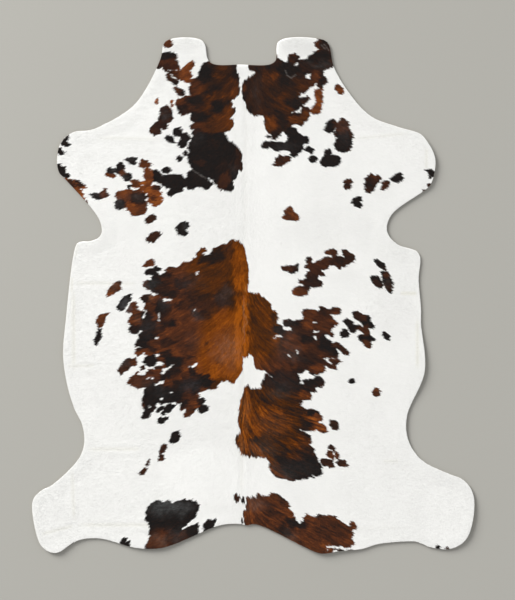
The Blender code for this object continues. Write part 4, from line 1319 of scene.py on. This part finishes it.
def rim_distance(points, rim_field):
    """How far inside the rim each point lies, up to RIM_MAP_REACH, and below 0 outside it."""
    low, field = rim_field
    place = (points - low) / RIM_MAP_CELL
    last = np.array(field.shape[::-1]) - 1.001  # keeps the next cell inside the field
    place = np.clip(place, 0.0, last)
    column, row = place.astype(int).T
    across, up = (place - place.astype(int)).T
    lower = field[row, column] * (1 - across) + field[row, column + 1] * across
    upper = field[row + 1, column] * (1 - across) + field[row + 1, column + 1] * across
    return lower * (1 - up) + upper * up


def value_noise(points, size):
    """Smooth noise from 0 to 1 with cells of the given size, in metres."""
    place = points / size + NOISE_ORIGIN
    cell = np.floor(place).astype(int)
    across, up = smoothed(place - cell).T
    column, row = (cell % LATTICE_SIZE).T
    next_column, next_row = ((cell + 1) % LATTICE_SIZE).T
    low = LATTICE[row, column] * (1 - across) + LATTICE[row, next_column] * across
    high = LATTICE[next_row, column] * (1 - across) + LATTICE[next_row, next_column] * across
    return low * (1 - up) + high * up


def hair_direction(points):
    """The unit direction in which the hair lies at each point."""
    top, bottom = from_chart((SPINE_TOP, SPINE_BOTTOM))
    share = (points[:, 1] - top[1]) / (bottom[1] - top[1])
    off_spine = points[:, 0] - (top[0] + share * (bottom[0] - top[0]))
    turn = math.radians(FLOW_MOST) * (1.0 - np.exp(-np.abs(off_spine) / FLOW_REACH))
    turn = turn * np.sign(off_spine)
    for degrees, size, shift in FLOW_SWAYS:
        turn += math.radians(degrees) * (value_noise(points + shift, size) - 0.5)
    return np.stack([np.sin(turn), -np.cos(turn)], axis=1)


def streaks(points, direction, width, length, contrast):
    """Noise from -1 to 1 drawn out along the hair.

    More steps even the noise out, so the contrast is that of STREAK_STEPS of them.
    """
    total = np.zeros(len(points))
    steps = np.linspace(-0.5, 0.5, int(length / width) + 3) * length
    for step in steps:
        total += value_noise(points + direction * step, width)
    evening = math.sqrt(len(steps) / STREAK_STEPS)
    return np.clip((total / len(steps) - 0.5) * contrast * evening, -1.0, 1.0)


def ellipse_weight(points, middle, half_sizes, degrees):
    """1 in the middle of an ellipse given in chart steps, falling softly to 0 outside it."""
    off = (points - from_chart(middle)) / (CHART_STEP, -CHART_STEP)
    turn = math.radians(degrees)
    along = off[:, 0] * math.cos(turn) + off[:, 1] * math.sin(turn)
    across = off[:, 1] * math.cos(turn) - off[:, 0] * math.sin(turn)
    distance = np.sqrt((along / half_sizes[0]) ** 2 + (across / half_sizes[1]) ** 2)
    return smoothed(np.clip((AREA_EDGE - distance) / AREA_SOFTNESS, 0.0, 1.0))


def tufted(points, direction):
    """The points moved along the hair, tuft by tuft."""
    tuft = streaks(points + TUFT_SHIFT, direction, TUFT_WIDTH, TUFT_LENGTH, TUFT_CONTRAST)
    return points + direction * (TUFT_REACH * tuft)[:, None]


def marking_tone(points, direction):
    """The tone of the marking at each point, or -1 where the hair is white."""
    tone = np.full(len(points), -1.0)
    points = wandering(tufted(points, direction), EDGE_WANDER)
    for _, name, outline in PATCHES:
        tone[inside(points, grown(from_chart(outline), GROWTH))] = TONES[name]
    for name, middle, half_width, half_height in SPOTS:
        half_sizes = CHART_STEP * np.array((half_width, half_height)) + GROWTH
        off = (points - from_chart(middle)) / half_sizes
        tone[(off ** 2).sum(axis=1) < 1.0] = TONES[name]
    for outline in GAPS:
        tone[inside(points, grown(from_chart(outline), -GAP_LOSS))] = -1.0
    return tone


def shaded_tone(tone, points, direction):
    """The tones of marked points with their tone areas and brindle added."""
    result = tone.copy()
    wandered = wandering(tufted(points, direction), TONE_WANDER)
    for middle, half_sizes, degrees, value, strength in TONE_AREAS:
        near = np.abs(points - from_chart(middle)).max(axis=1)
        chosen = np.nonzero(near < AREA_SEARCH * max(half_sizes) * CHART_STEP)[0]
        weight = strength * ellipse_weight(wandered[chosen], middle, half_sizes, degrees)
        result[chosen] += weight * (value - result[chosen])
    amounts = np.tile(BRINDLE_ELSEWHERE, (len(points), 1))
    for middle, half_sizes, streak, blotch in BRINDLE_AREAS:
        weight = ellipse_weight(points, middle, half_sizes, 0.0)
        amounts += weight[:, None] * (np.array((streak, blotch)) - amounts)
    amounts *= np.clip(BRINDLE_LEAST + BRINDLE_RISE * result, 0.0, 1.0)[:, None]
    for amount, layers in zip(amounts.T, BRINDLE_LAYERS):
        pattern = sum(share * streaks(points + shift, direction, width, length, contrast)
                      for share, width, length, contrast, shift in layers)
        result += amount * pattern
    return np.clip(result, 0.0, 1.0)


def wandering(points, scales):
    """The points moved about by smooth noise, given as rows of reach and size."""
    for reach, size in scales:
        points = points + reach * np.stack([value_noise(points, size) - 0.5,
                                            value_noise(points + WANDER_SHIFT, size) - 0.5],
                                           axis=1)
    return points


def dark_colour(tone, points):
    """The colour of marked hair, from its tone and place."""
    places = [row[0] for row in DARK_RAMP]
    columns = np.array([row[1] for row in DARK_RAMP])
    colour = np.stack([np.interp(tone, places, columns[:, k]) for k in range(3)], axis=1)
    gold = np.zeros(len(points))
    for middle, half_sizes, amount in GOLD_AREAS:
        gold = np.maximum(gold, amount * ellipse_weight(points, middle, half_sizes, 0.0))
    gold *= np.clip(GOLD_RISE * tone - GOLD_START, 0.0, 1.0)
    colour *= 1.0 + gold[:, None] * (np.array(GOLD) - 1.0)
    return colour


def add_painted_sheen_and_pale_hairs(colour, points):
    """Blends the painted sheen and the single pale hairs over the colours, in place."""
    wandered = wandering(points, SHEEN_WANDER)
    patchy = SHEEN_LEAST + SHEEN_RANGE * value_noise(points + SHEEN_SHIFT, SHEEN_PATCHES)
    # painted sheen: each area blends a pale reflection colour into the hair's own colour
    for middle, half_sizes, amount, gloss in PAINTED_SHEEN_AREAS:
        off = (wandered - from_chart(middle)) / (CHART_STEP * np.array(half_sizes))
        weight = amount * (patchy * bump(np.linalg.norm(off, axis=1) / SHEEN_REACH))[:, None]
        colour += weight * (np.array(gloss) - colour)
    for start, end, half_width, amount in PALE_HAIRS:
        _, distance = along_and_across(points, *from_chart((start, end)))
        weight = amount * bump(distance / (PALE_HAIR_SOFTNESS * half_width))[:, None]
        colour += weight * (np.array(PALE_HAIR_COLOUR) - colour)


def crease_marks(points):
    """How much each point is on a fold line, and the warmth of the hair there."""
    line = np.zeros(len(points))
    warmth = np.zeros(len(points))
    for _, start, end, _, half_width, warm in CREASES:
        start, end = np.array(start) * MM, np.array(end) * MM
        share, distance = along_and_across(points, start, end)
        fade = towards_middle(share)
        sharp = bump(distance / CREASE_LINE)
        broad = bump(distance / (CREASE_TINT_REACH * half_width * MM))
        line = np.maximum(line, min(1.0, CREASE_LINE_RISE * warm) * fade * sharp)
        warmth = np.maximum(warmth, warm * fade * broad)
    return line, warmth


def white_colour(points):
    """The colour of the white hair, a little warmer and greyer in places, with painted light and
    shade.
    """
    colour = np.tile(WHITE_HAIR, (len(points), 1))
    shade = np.ones(len(points))
    for amount, size, shift in WHITE_CLOUDS:
        shade += amount * (value_noise(points + shift, size) - 0.5)
    # painted shade, darker to the right, away from the key light
    shade -= PAINTED_SHADE_SLOPE * points[:, 0]
    # painted shade where less light falls, and painted light below 0
    for middle, half_sizes, amount in PAINTED_LIGHT_AND_SHADE_AREAS:
        shade -= amount * ellipse_weight(points, middle, half_sizes, 0.0)
    line, warmth = crease_marks(points)
    # painted shade in the fold lines, together with the hair parted along them
    shade -= CREASE_DARKNESS * line
    colour *= shade[:, None]
    colour *= 1.0 - warmth[:, None] * np.array(CREASE_TINT)
    return colour


def skin_height(points, rim_field):
    """The height of the underside over the floor: creases, lifted rims and slight waves."""
    to_rim = np.maximum(rim_distance(points, rim_field), 0.0)
    height = RIM_CURL * bump(to_rim / CURL_REACH)
    for kind, start, end, relief, half_width, _ in CREASES:
        share, distance = along_and_across(points, np.array(start) * MM, np.array(end) * MM)
        width = half_width * MM
        profile = bump(distance / (RIDGE_REACH * width))
        if kind == "trough":
            banks = bump(distance / (TROUGH_OUTSIDE * width))
            profile = banks - bump(distance / (TROUGH_INSIDE * width))
        raised = CREASE_SHARE * relief * MM * profile * towards_middle(share)
        height = np.maximum(height, raised)
    for centre, reach, lift in RIM_LIFTS:
        distance = np.linalg.norm(points - np.array(centre) * MM, axis=1)
        height += lift * MM * bump(distance / (reach * MM))
    return height


def waves(points):
    """Slight unevenness of the upper face."""
    return WAVE_HEIGHT * sum(share * value_noise(points + shift, size)
                             for share, size, shift in WAVES)


def rim_loop(node):
    """The widest line of the solid's rim, in order, anticlockwise as seen from above."""
    form = bmesh.new()
    form.from_mesh(node.data)
    bmesh.ops.remove_doubles(form, verts=form.verts, dist=1e-5)
    form.normal_update()
    nexts = {}
    for edge in form.edges:
        if len(edge.link_faces) == 2:
            first, second = (face.normal.z > 0.0 for face in edge.link_faces)
            if first != second:
                for a, b in (edge.verts[:], edge.verts[:][::-1]):
                    nexts.setdefault(a.index, []).append(b.index)
    form.verts.ensure_lookup_table()
    start = min(nexts)
    order = [start, nexts[start][0]]
    while len(order) < len(nexts) + 1:
        a, b = nexts[order[-1]]
        order.append(b if a == order[-2] else a)
        if order[-1] == start:
            break
    loop = np.array([form.verts[i].co[:2] for i in order[:-1]])
    form.free()
    x, y = loop.T
    area = 0.5 * np.sum(x * np.roll(y, -1) - np.roll(x, -1) * y)
    return loop if area > 0.0 else loop[::-1]


def refined(loop, step):
    """A smooth closed curve through the loop's points, with points a step apart."""
    fine = []
    for i in range(len(loop)):
        a, b, c, d = (loop[(i + k) % len(loop)] for k in (-1, 0, 1, 2))
        for t in np.linspace(0.0, 1.0, CURVE_STEPS, endpoint=False):
            fine.append(0.5 * ((2 * b) + (c - a) * t + (2 * a - 5 * b + 4 * c - d) * t ** 2
                               + (3 * b - a - 3 * c + d) * t ** 3))
    closed = np.array(fine + fine[:1])
    along = np.concatenate([[0.0], np.cumsum(np.linalg.norm(np.diff(closed, axis=0), axis=1))])
    count = int(round(along[-1] / step))
    places = np.linspace(0.0, along[-1], count, endpoint=False)
    return np.stack([np.interp(places, along, closed[:, k]) for k in (0, 1)], axis=1)


def inward_normals(loop):
    """Unit vectors that point into an anticlockwise loop."""
    along = np.roll(loop, -1, axis=0) - np.roll(loop, 1, axis=0)
    along /= np.linalg.norm(along, axis=1)[:, None]
    return np.stack([-along[:, 1], along[:, 0]], axis=1)


def grown(loop, amount):
    """The loop with every corner moved outwards by the amount."""
    turned = np.roll(loop, -1, axis=0)
    area = np.sum(loop[:, 0] * turned[:, 1] - loop[:, 1] * turned[:, 0])
    return loop - math.copysign(1.0, area) * amount * inward_normals(loop)


def staggered_grid(rim, rim_field, step, clearance):
    """Points of a triangular grid inside the rim, clear of it."""
    low, high = rim.min(axis=0), rim.max(axis=0)
    rows = []
    for index, y in enumerate(np.arange(low[1], high[1], step * math.sqrt(0.75))):
        x = np.arange(low[0] + (0.5 * step if index % 2 else 0.0), high[0], step)
        rows.append(np.stack([x, np.full(len(x), y)], axis=1))
    points = np.concatenate(rows)
    return points[rim_distance(points, rim_field) > clearance]


def filled(ring, field):
    """Triangles over a ring of points and the field inside it."""
    flat = [Vector(p) for p in np.vstack([ring, field]).tolist()]
    count = len(ring)
    edges = [(i, (i + 1) % count) for i in range(count)]
    solved = delaunay_2d_cdt(flat, edges, [list(range(count))], 1, 1e-9)
    return np.array(solved[2])


def skin_mesh(rim, rim_field):
    """The skin as one closed sheet: vertices, triangles and how many faces look up."""
    inward = inward_normals(rim)
    rings = [rim + inward * inset for inset, _ in RIM_ROWS]
    clearance = RIM_ROWS[0][0] + 0.5 * TOP_STEP
    top_field = staggered_grid(rim, rim_field, TOP_STEP, clearance)
    under_field = staggered_grid(rim, rim_field, UNDER_STEP, 0.5 * UNDER_STEP)
    top_faces = filled(rings[0], top_field)
    under_faces = filled(rings[-1], under_field)

    def raised(points, share):
        lift = share * (SKIN_THICKNESS + waves(points))
        return np.column_stack([points, skin_height(points, rim_field) + lift])

    count = len(rim)
    blocks = [raised(rings[0], 1.0), raised(top_field, 1.0)]
    starts = [0]
    total = count + len(top_field)
    for ring, (_, share) in zip(rings[1:], RIM_ROWS[1:]):
        starts.append(total)
        blocks.append(raised(ring, share))
        total += count
    blocks.append(raised(under_field, 0.0))

    i = np.arange(count)
    j = (i + 1) % count
    strips = []
    for upper, lower in zip(starts, starts[1:]):
        strips.append(np.stack([upper + i, lower + i, lower + j], axis=1))
        strips.append(np.stack([upper + i, lower + j, upper + j], axis=1))
    under = np.where(under_faces < count, under_faces + starts[-1],
                     under_faces - count + total)[:, ::-1]
    faces = np.vstack([top_faces, *strips, under])
    return np.vstack(blocks), faces, len(top_faces) + 4 * count


def new_mesh(name, vertices, faces):
    """A mesh object from arrays of vertices and triangles, smoothly shaded."""
    mesh = bpy.data.meshes.new(name)
    mesh.vertices.add(len(vertices))
    mesh.vertices.foreach_set("co", np.ascontiguousarray(vertices, dtype=np.float32).ravel())
    mesh.loops.add(faces.size)
    mesh.loops.foreach_set("vertex_index", np.ascontiguousarray(faces, dtype=np.int32).ravel())
    mesh.polygons.add(len(faces))
    mesh.polygons.foreach_set("loop_start", np.arange(len(faces), dtype=np.int32) * 3)
    mesh.polygons.foreach_set("use_smooth", np.ones(len(faces), dtype=bool))
    mesh.update(calc_edges=True)
    piece = bpy.data.objects.new(name, mesh)
    bpy.context.scene.collection.objects.link(piece)
    return piece


def set_colours(piece, colours):
    """Gives each vertex its colour, in the attribute that the hair material reads."""
    layer = piece.data.color_attributes.new("hair", "FLOAT_COLOR", "POINT")
    full = np.column_stack([colours, np.ones(len(colours))]).astype(np.float32)
    layer.data.foreach_set("color", full.ravel())


def mixed_colour(points, direction):
    """Soft colours for the skin under the coat, as the mean of the hair that lies over it."""
    total = np.zeros((len(points), 3))
    white = white_colour(points)
    offsets = np.linspace(-1.0, 1.0, SKIN_SAMPLES) * FEATHER
    shaded = dark_colour(shaded_tone(np.zeros(len(points)), points, direction), points)
    for offset in offsets:
        tone = marking_tone(points + direction * offset, direction)
        marked = tone >= 0.0
        tones = shaded_tone(tone[marked], points[marked], direction[marked])
        shaded[marked] = dark_colour(tones, points[marked])
        total += np.where(marked[:, None], shaded, white)
    return total / len(offsets)


def lock_roots(rim, rim_field):
    """Places of the locks' roots, spread evenly and a little at random."""
    points = staggered_grid(rim, rim_field, LOCK_SPACING, GRID_CLEARANCE)
    points = points + (rng.random(points.shape) - 0.5) * ROOT_JITTER * LOCK_SPACING
    return points[rim_distance(points, rim_field) > ROOT_CLEARANCE]


def locks(roots, rim_field):
    """Vertices, triangles, colours and normals of the locks on these roots."""
    count = len(roots)
    direction = hair_direction(roots)
    turn = rng.normal(0.0, math.radians(LOCK_TURN), count)
    direction = np.stack([direction[:, 0] * np.cos(turn) - direction[:, 1] * np.sin(turn),
                          direction[:, 0] * np.sin(turn) + direction[:, 1] * np.cos(turn)],
                         axis=1)
    across = np.stack([-direction[:, 1], direction[:, 0]], axis=1)
    length = LOCK_LENGTH * rng.uniform(*LENGTH_RANGE, count)
    width = LOCK_WIDTH * rng.uniform(*WIDTH_RANGE, count)

    at_root = rim_distance(roots, rim_field)
    at_tip = rim_distance(roots + direction * length[:, None], rim_field)
    overhang = OVERHANG * rng.uniform(0.0, 1.0, count)
    beyond = at_tip < -overhang
    share = (at_root + overhang) / np.maximum(at_root - at_tip, 1e-4)
    length = np.where(beyond, length * np.clip(share, SHORTEST, 1.0), length)

    tip = roots + direction * length[:, None]
    tip += across * rng.normal(0.0, TIP_SPREAD, count)[:, None]
    middle = roots + direction * (MIDDLE_SHARE * length)[:, None]
    centre = roots + direction * (SEEN_SHARE * length)[:, None]
    sought = centre + direction * (rng.uniform(-1.0, 1.0, count) * FEATHER)[:, None]
    sought += across * (rng.uniform(-1.0, 1.0, count) * SIDE_FEATHER)[:, None]

    colour = white_colour(centre) * rng.normal(1.0, WHITE_SPREAD, count)[:, None]
    tone = marking_tone(sought, direction)
    marked = np.nonzero(tone >= 0.0)[0]
    blended = centre + direction * (rng.uniform(-1.0, 1.0, count) * BLENDING)[:, None]
    shaded = shaded_tone(tone[marked], blended[marked], direction[marked])
    shaded = np.clip(shaded + rng.normal(0.0, TONE_SPREAD, len(marked)), 0.0, 1.0)
    dark = dark_colour(shaded, centre[marked])
    # painted sheen on the dark hair, then the pale hairs
    add_painted_sheen_and_pale_hairs(dark, centre[marked])
    colour[marked] = dark * rng.normal(1.0, DARK_SPREAD, len(marked))[:, None]

    low = skin_height(roots, rim_field) + waves(roots)
    high = skin_height(tip, rim_field) + waves(tip)
    drop = TIP_DROP * SKIN_THICKNESS * np.clip((DROP_START - at_tip) / DROP_REACH, 0.0, 1.0)
    lift = rng.uniform(*LIFT_RANGE, count)
    roll = rng.normal(0.0, LOCK_ROLL, count) * width
    z_root = low + SKIN_THICKNESS + LOCK_ROOT
    z_middle = 0.5 * (low + high) + SKIN_THICKNESS + LOCK_MIDDLE * lift
    z_tip = high + SKIN_THICKNESS + LOCK_TIP * lift - drop
    half = 0.5 * width[:, None]

    vertices = np.stack([
        np.column_stack([roots, z_root]),
        np.column_stack([middle - across * half, z_middle + roll]),
        np.column_stack([middle + across * half, z_middle - roll]),
        np.column_stack([tip, z_tip]),
    ], axis=1).reshape(-1, 3)
    first = 4 * np.arange(count)[:, None]
    faces = np.concatenate([first + (0, 1, 2), first + (2, 1, 3)], axis=1).reshape(-1, 3)

    is_marked = (tone >= 0.0).astype(float)
    # painted shade at the roots, under the locks over them, with the darker roots of dark hair
    root_shade = ROOT_SHADE - ROOT_DARKENING * is_marked
    tip_shade = 1.0 + TIP_PALING * is_marked
    shades = np.stack([root_shade, np.ones(count), np.ones(count), tip_shade], axis=1)
    colours = (colour[:, None, :] * shades[:, :, None]).reshape(-1, 3)
    normals = np.column_stack([
        np.repeat(LOCK_LEAN * rng.normal(0.0, 1.0, (count, 2)), 4, axis=0),
        np.ones(4 * count)])
    side = np.zeros((count, 4, 2))
    side[:, 1] = -across * LOCK_ROUND
    side[:, 2] = across * LOCK_ROUND
    normals[:, :2] += side.reshape(-1, 2)
    normals /= np.linalg.norm(normals, axis=1)[:, None]
    return vertices, faces, np.clip(colours, 0.0, 1.0), normals


def shader_node(tree, kind, place, **values):
    """A node with its properties and named input values set."""
    made = tree.nodes.new(kind)
    made.location = place
    for key, value in values.items():
        if key in made.inputs:
            made.inputs[key].default_value = value
        else:
            setattr(made, key, value)
    return made


def range_node(tree, place, low, high):
    """A node that turns noise into values between two limits."""
    return shader_node(tree, "ShaderNodeMapRange", place, **{"To Min": low, "To Max": high})


def hair_material(name, roughness, speckle):
    """Hair that takes its colour from the piece, with fine variation between the hairs."""
    material = bpy.data.materials.new(name)
    material.use_nodes = True
    tree = material.node_tree
    shader = tree.nodes["Principled BSDF"]
    shader.inputs["Specular IOR Level"].default_value = HAIR_SPECULAR
    own = shader_node(tree, "ShaderNodeAttribute", (-900, 200), attribute_name="hair")
    where = shader_node(tree, "ShaderNodeTexCoord", (-1100, -100))
    fine = shader_node(tree, "ShaderNodeTexNoise", (-900, -100), Scale=HAIR_NOISE_SCALE,
                       Detail=2.0)
    level = range_node(tree, (-700, -100), 1.0 - speckle, 1.0 + speckle)
    scaled = shader_node(tree, "ShaderNodeVectorMath", (-500, 200), operation="SCALE")
    gloss = range_node(tree, (-500, -150), *(roughness + change for change in HAIR_GLOSS))
    link = tree.links.new
    link(where.outputs["Object"], fine.inputs["Vector"])
    link(fine.outputs["Fac"], level.inputs["Value"])
    link(fine.outputs["Fac"], gloss.inputs["Value"])
    link(own.outputs["Color"], scaled.inputs[0])
    link(level.outputs["Result"], scaled.inputs["Scale"])
    link(scaled.outputs["Vector"], shader.inputs["Base Color"])
    link(gloss.outputs["Result"], shader.inputs["Roughness"])
    return material


def add_bump(material, scale, distance, strength):
    """Fine relief from noise, for the faces that show as skin."""
    tree = material.node_tree
    where = shader_node(tree, "ShaderNodeTexCoord", (-900, -500))
    noise = shader_node(tree, "ShaderNodeTexNoise", (-700, -500), Scale=scale, Detail=4.0)
    relief = shader_node(tree, "ShaderNodeBump", (-400, -500), Strength=strength,
                         Distance=distance)
    link = tree.links.new
    link(where.outputs["Object"], noise.inputs["Vector"])
    link(noise.outputs["Fac"], relief.inputs["Height"])
    link(relief.outputs["Normal"], tree.nodes["Principled BSDF"].inputs["Normal"])


def suede_material():
    """The flesh side of the skin: pale suede, blotched, with short loose fibres."""
    material = bpy.data.materials.new("suede_underside")
    material.use_nodes = True
    tree = material.node_tree
    shader = tree.nodes["Principled BSDF"]
    shader.inputs["Specular IOR Level"].default_value = SUEDE_SPECULAR
    shader.inputs["Sheen Weight"].default_value = SUEDE_SHEEN
    shader.inputs["Sheen Roughness"].default_value = SUEDE_SHEEN_ROUGHNESS
    where = shader_node(tree, "ShaderNodeTexCoord", (-1300, 0))
    cloud = shader_node(tree, "ShaderNodeTexNoise", (-1100, 200), Scale=SUEDE_BLOTCH_SCALE,
                        Detail=5.0, Roughness=0.6)
    nap = shader_node(tree, "ShaderNodeTexNoise", (-1100, -100), Scale=SUEDE_NAP_SCALE,
                      Detail=4.0)
    ramp = shader_node(tree, "ShaderNodeValToRGB", (-850, 200))
    for stop, (place, colour) in zip(ramp.color_ramp.elements, SUEDE_RAMP):
        stop.position = place
        stop.color = colour
    level = range_node(tree, (-850, -100), *SUEDE_SHADES)
    scaled = shader_node(tree, "ShaderNodeVectorMath", (-500, 200), operation="SCALE")
    gloss = range_node(tree, (-500, -100), *SUEDE_GLOSS)
    relief = shader_node(tree, "ShaderNodeBump", (-500, -400), Strength=SUEDE_RELIEF_STRENGTH,
                         Distance=SUEDE_RELIEF_DEPTH)
    link = tree.links.new
    link(where.outputs["Object"], cloud.inputs["Vector"])
    link(where.outputs["Object"], nap.inputs["Vector"])
    link(cloud.outputs["Fac"], ramp.inputs["Fac"])
    link(nap.outputs["Fac"], level.inputs["Value"])
    link(nap.outputs["Fac"], gloss.inputs["Value"])
    link(nap.outputs["Fac"], relief.inputs["Height"])
    link(ramp.outputs["Color"], scaled.inputs[0])
    link(level.outputs["Result"], scaled.inputs["Scale"])
    link(scaled.outputs["Vector"], shader.inputs["Base Color"])
    link(gloss.outputs["Result"], shader.inputs["Roughness"])
    link(relief.outputs["Normal"], shader.inputs["Normal"])
    return material


def build_skin(rim, rim_field):
    """The hide itself, which stands for the solid."""
    vertices, faces, upper = skin_mesh(rim, rim_field)
    skin = new_mesh("hide_skin", vertices, faces)
    base = hair_material("coat_base", BASE_ROUGHNESS, BASE_SPECKLE)
    add_bump(base, BASE_RELIEF_SCALE, BASE_RELIEF_DEPTH, BASE_RELIEF_STRENGTH)
    skin.data.materials.append(base)
    skin.data.materials.append(suede_material())
    kinds = np.zeros(len(faces), dtype=np.int32)
    kinds[upper:] = 1
    skin.data.polygons.foreach_set("material_index", kinds)
    flat = vertices[:, :2]
    set_colours(skin, mixed_colour(flat, hair_direction(flat)))
    return skin


def map_cells(roots):
    """How many cells a side of the bake map has, and the cell of each lock.

    The roots come in order of x.  Each band of columns takes a run of them, and fills its
    rows from the rump to the neck, so neighbours on the map are neighbours on the hide.
    """
    count = len(roots)
    side = math.ceil(math.sqrt(count))
    cells = np.empty((count, 2))
    first_column = 0
    for start in range(0, count, side * BAND_COLUMNS):
        band = np.arange(start, min(start + side * BAND_COLUMNS, count))
        columns = math.ceil(len(band) / side)
        by_height = band[np.argsort(roots[band, 1], kind="stable")]
        row = np.arange(len(band)) // columns
        ordered = by_height[np.lexsort((by_height, row))]
        cells[ordered, 0] = first_column + np.arange(len(band)) % columns
        cells[ordered, 1] = row
        first_column += columns
    return side, cells


def set_map(piece, roots):
    """A bake map with a small square of its own for each lock."""
    side, cells = map_cells(roots)
    low, high = CELL_INSET, 1.0 - CELL_INSET
    corners = np.array([(low, low), (high, low), (low, high), (high, high)])
    places = ((cells[:, None, :] + corners) / side).reshape(-1, 2)
    mesh = piece.data
    vertex = np.empty(len(mesh.loops), dtype=np.int32)
    mesh.loops.foreach_get("vertex_index", vertex)
    layer = mesh.uv_layers.new(name="OFBake")
    layer.uv.foreach_set("vector", places[vertex].astype(np.float32).ravel())


def build_coat(rim, rim_field):
    """The hair, in a few long strips from the left flank to the right one."""
    roots = lock_roots(rim, rim_field)
    roots = roots[np.argsort(roots[:, 0], kind="stable")]
    material = hair_material("coat_hair", COAT_ROUGHNESS, COAT_SPECKLE)
    made = []
    for name, part in zip(COAT_PIECES, np.array_split(roots, len(COAT_PIECES))):
        vertices, faces, colours, normals = locks(part, rim_field)
        piece = new_mesh(name, vertices, faces)
        piece.data.normals_split_custom_set_from_vertices(normals.tolist())
        piece.data.materials.append(material)
        set_colours(piece, colours)
        set_map(piece, part)
        made.append(piece)
    return made


def build_floor():
    """The plain pale floor, just below the rug."""
    mesh = bpy.data.meshes.new("floor")
    form = bmesh.new()
    bmesh.ops.create_grid(form, x_segments=1, y_segments=1, size=FLOOR_HALF_SIZE)
    form.to_mesh(mesh)
    form.free()
    floor = bpy.data.objects.new("floor", mesh)
    floor.location.z = FLOOR_HEIGHT
    bpy.context.scene.collection.objects.link(floor)
    material = bpy.data.materials.new("floor")
    material.use_nodes = True
    shader = material.node_tree.nodes["Principled BSDF"]
    shader.inputs["Base Color"].default_value = FLOOR_COLOUR
    shader.inputs["Roughness"].default_value = FLOOR_ROUGHNESS
    mesh.materials.append(material)
    return floor


def add_light(name, kind, towards, **values):
    """A light that shines from the side of the given vector, with its properties set."""
    data = bpy.data.lights.new(name, kind)
    for key, value in values.items():
        setattr(data, key, value)
    light = bpy.data.objects.new(name, data)
    light.rotation_mode = "QUATERNION"
    light.rotation_quaternion = Vector(towards).to_track_quat("Z", "Y")
    bpy.context.scene.collection.objects.link(light)
    return light


def add_lights():
    """A broad soft key light, a fainter one from the side and even light all round."""
    rise, turn = math.radians(KEY_ELEVATION), math.radians(KEY_AZIMUTH)
    towards = (math.cos(rise) * math.cos(turn), math.cos(rise) * math.sin(turn), math.sin(rise))
    add_light("key", "SUN", towards, energy=KEY_STRENGTH, angle=math.radians(KEY_SOFTNESS),
              color=KEY_COLOUR)
    side = add_light("side", "AREA", SIDE_PLACE, shape="SQUARE", size=SIDE_SIZE,
                     energy=SIDE_POWER)
    side.location = SIDE_PLACE
    world = bpy.data.worlds.new("studio")
    world.use_nodes = True
    background = world.node_tree.nodes["Background"]
    background.inputs["Color"].default_value = FILL_COLOUR
    background.inputs["Strength"].default_value = FILL_STRENGTH
    bpy.context.scene.world = world


def add_camera():
    """Straight above the rug, as in the photo."""
    camera_data = bpy.data.cameras.new("camera")
    camera_data.lens = CAMERA_LENS
    camera_data.sensor_width = CAMERA_SENSOR
    camera_data.clip_end = CAMERA_FARTHEST
    camera = bpy.data.objects.new("camera", camera_data)
    camera.location = CAMERA_PLACE
    bpy.context.scene.collection.objects.link(camera)
    bpy.context.scene.camera = camera


def main():
    rim = refined(rim_loop(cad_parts["hide"]), RIM_STEP)
    rim_field = rim_map(rim)
    skin = build_skin(rim, rim_field)
    coat = build_coat(rim, rim_field)
    for piece in [skin, *coat]:
        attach(piece, "root")
    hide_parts("hide")
    build_floor()
    add_lights()
    add_camera()
    bpy.context.scene.view_settings.view_transform = "Standard"


main()
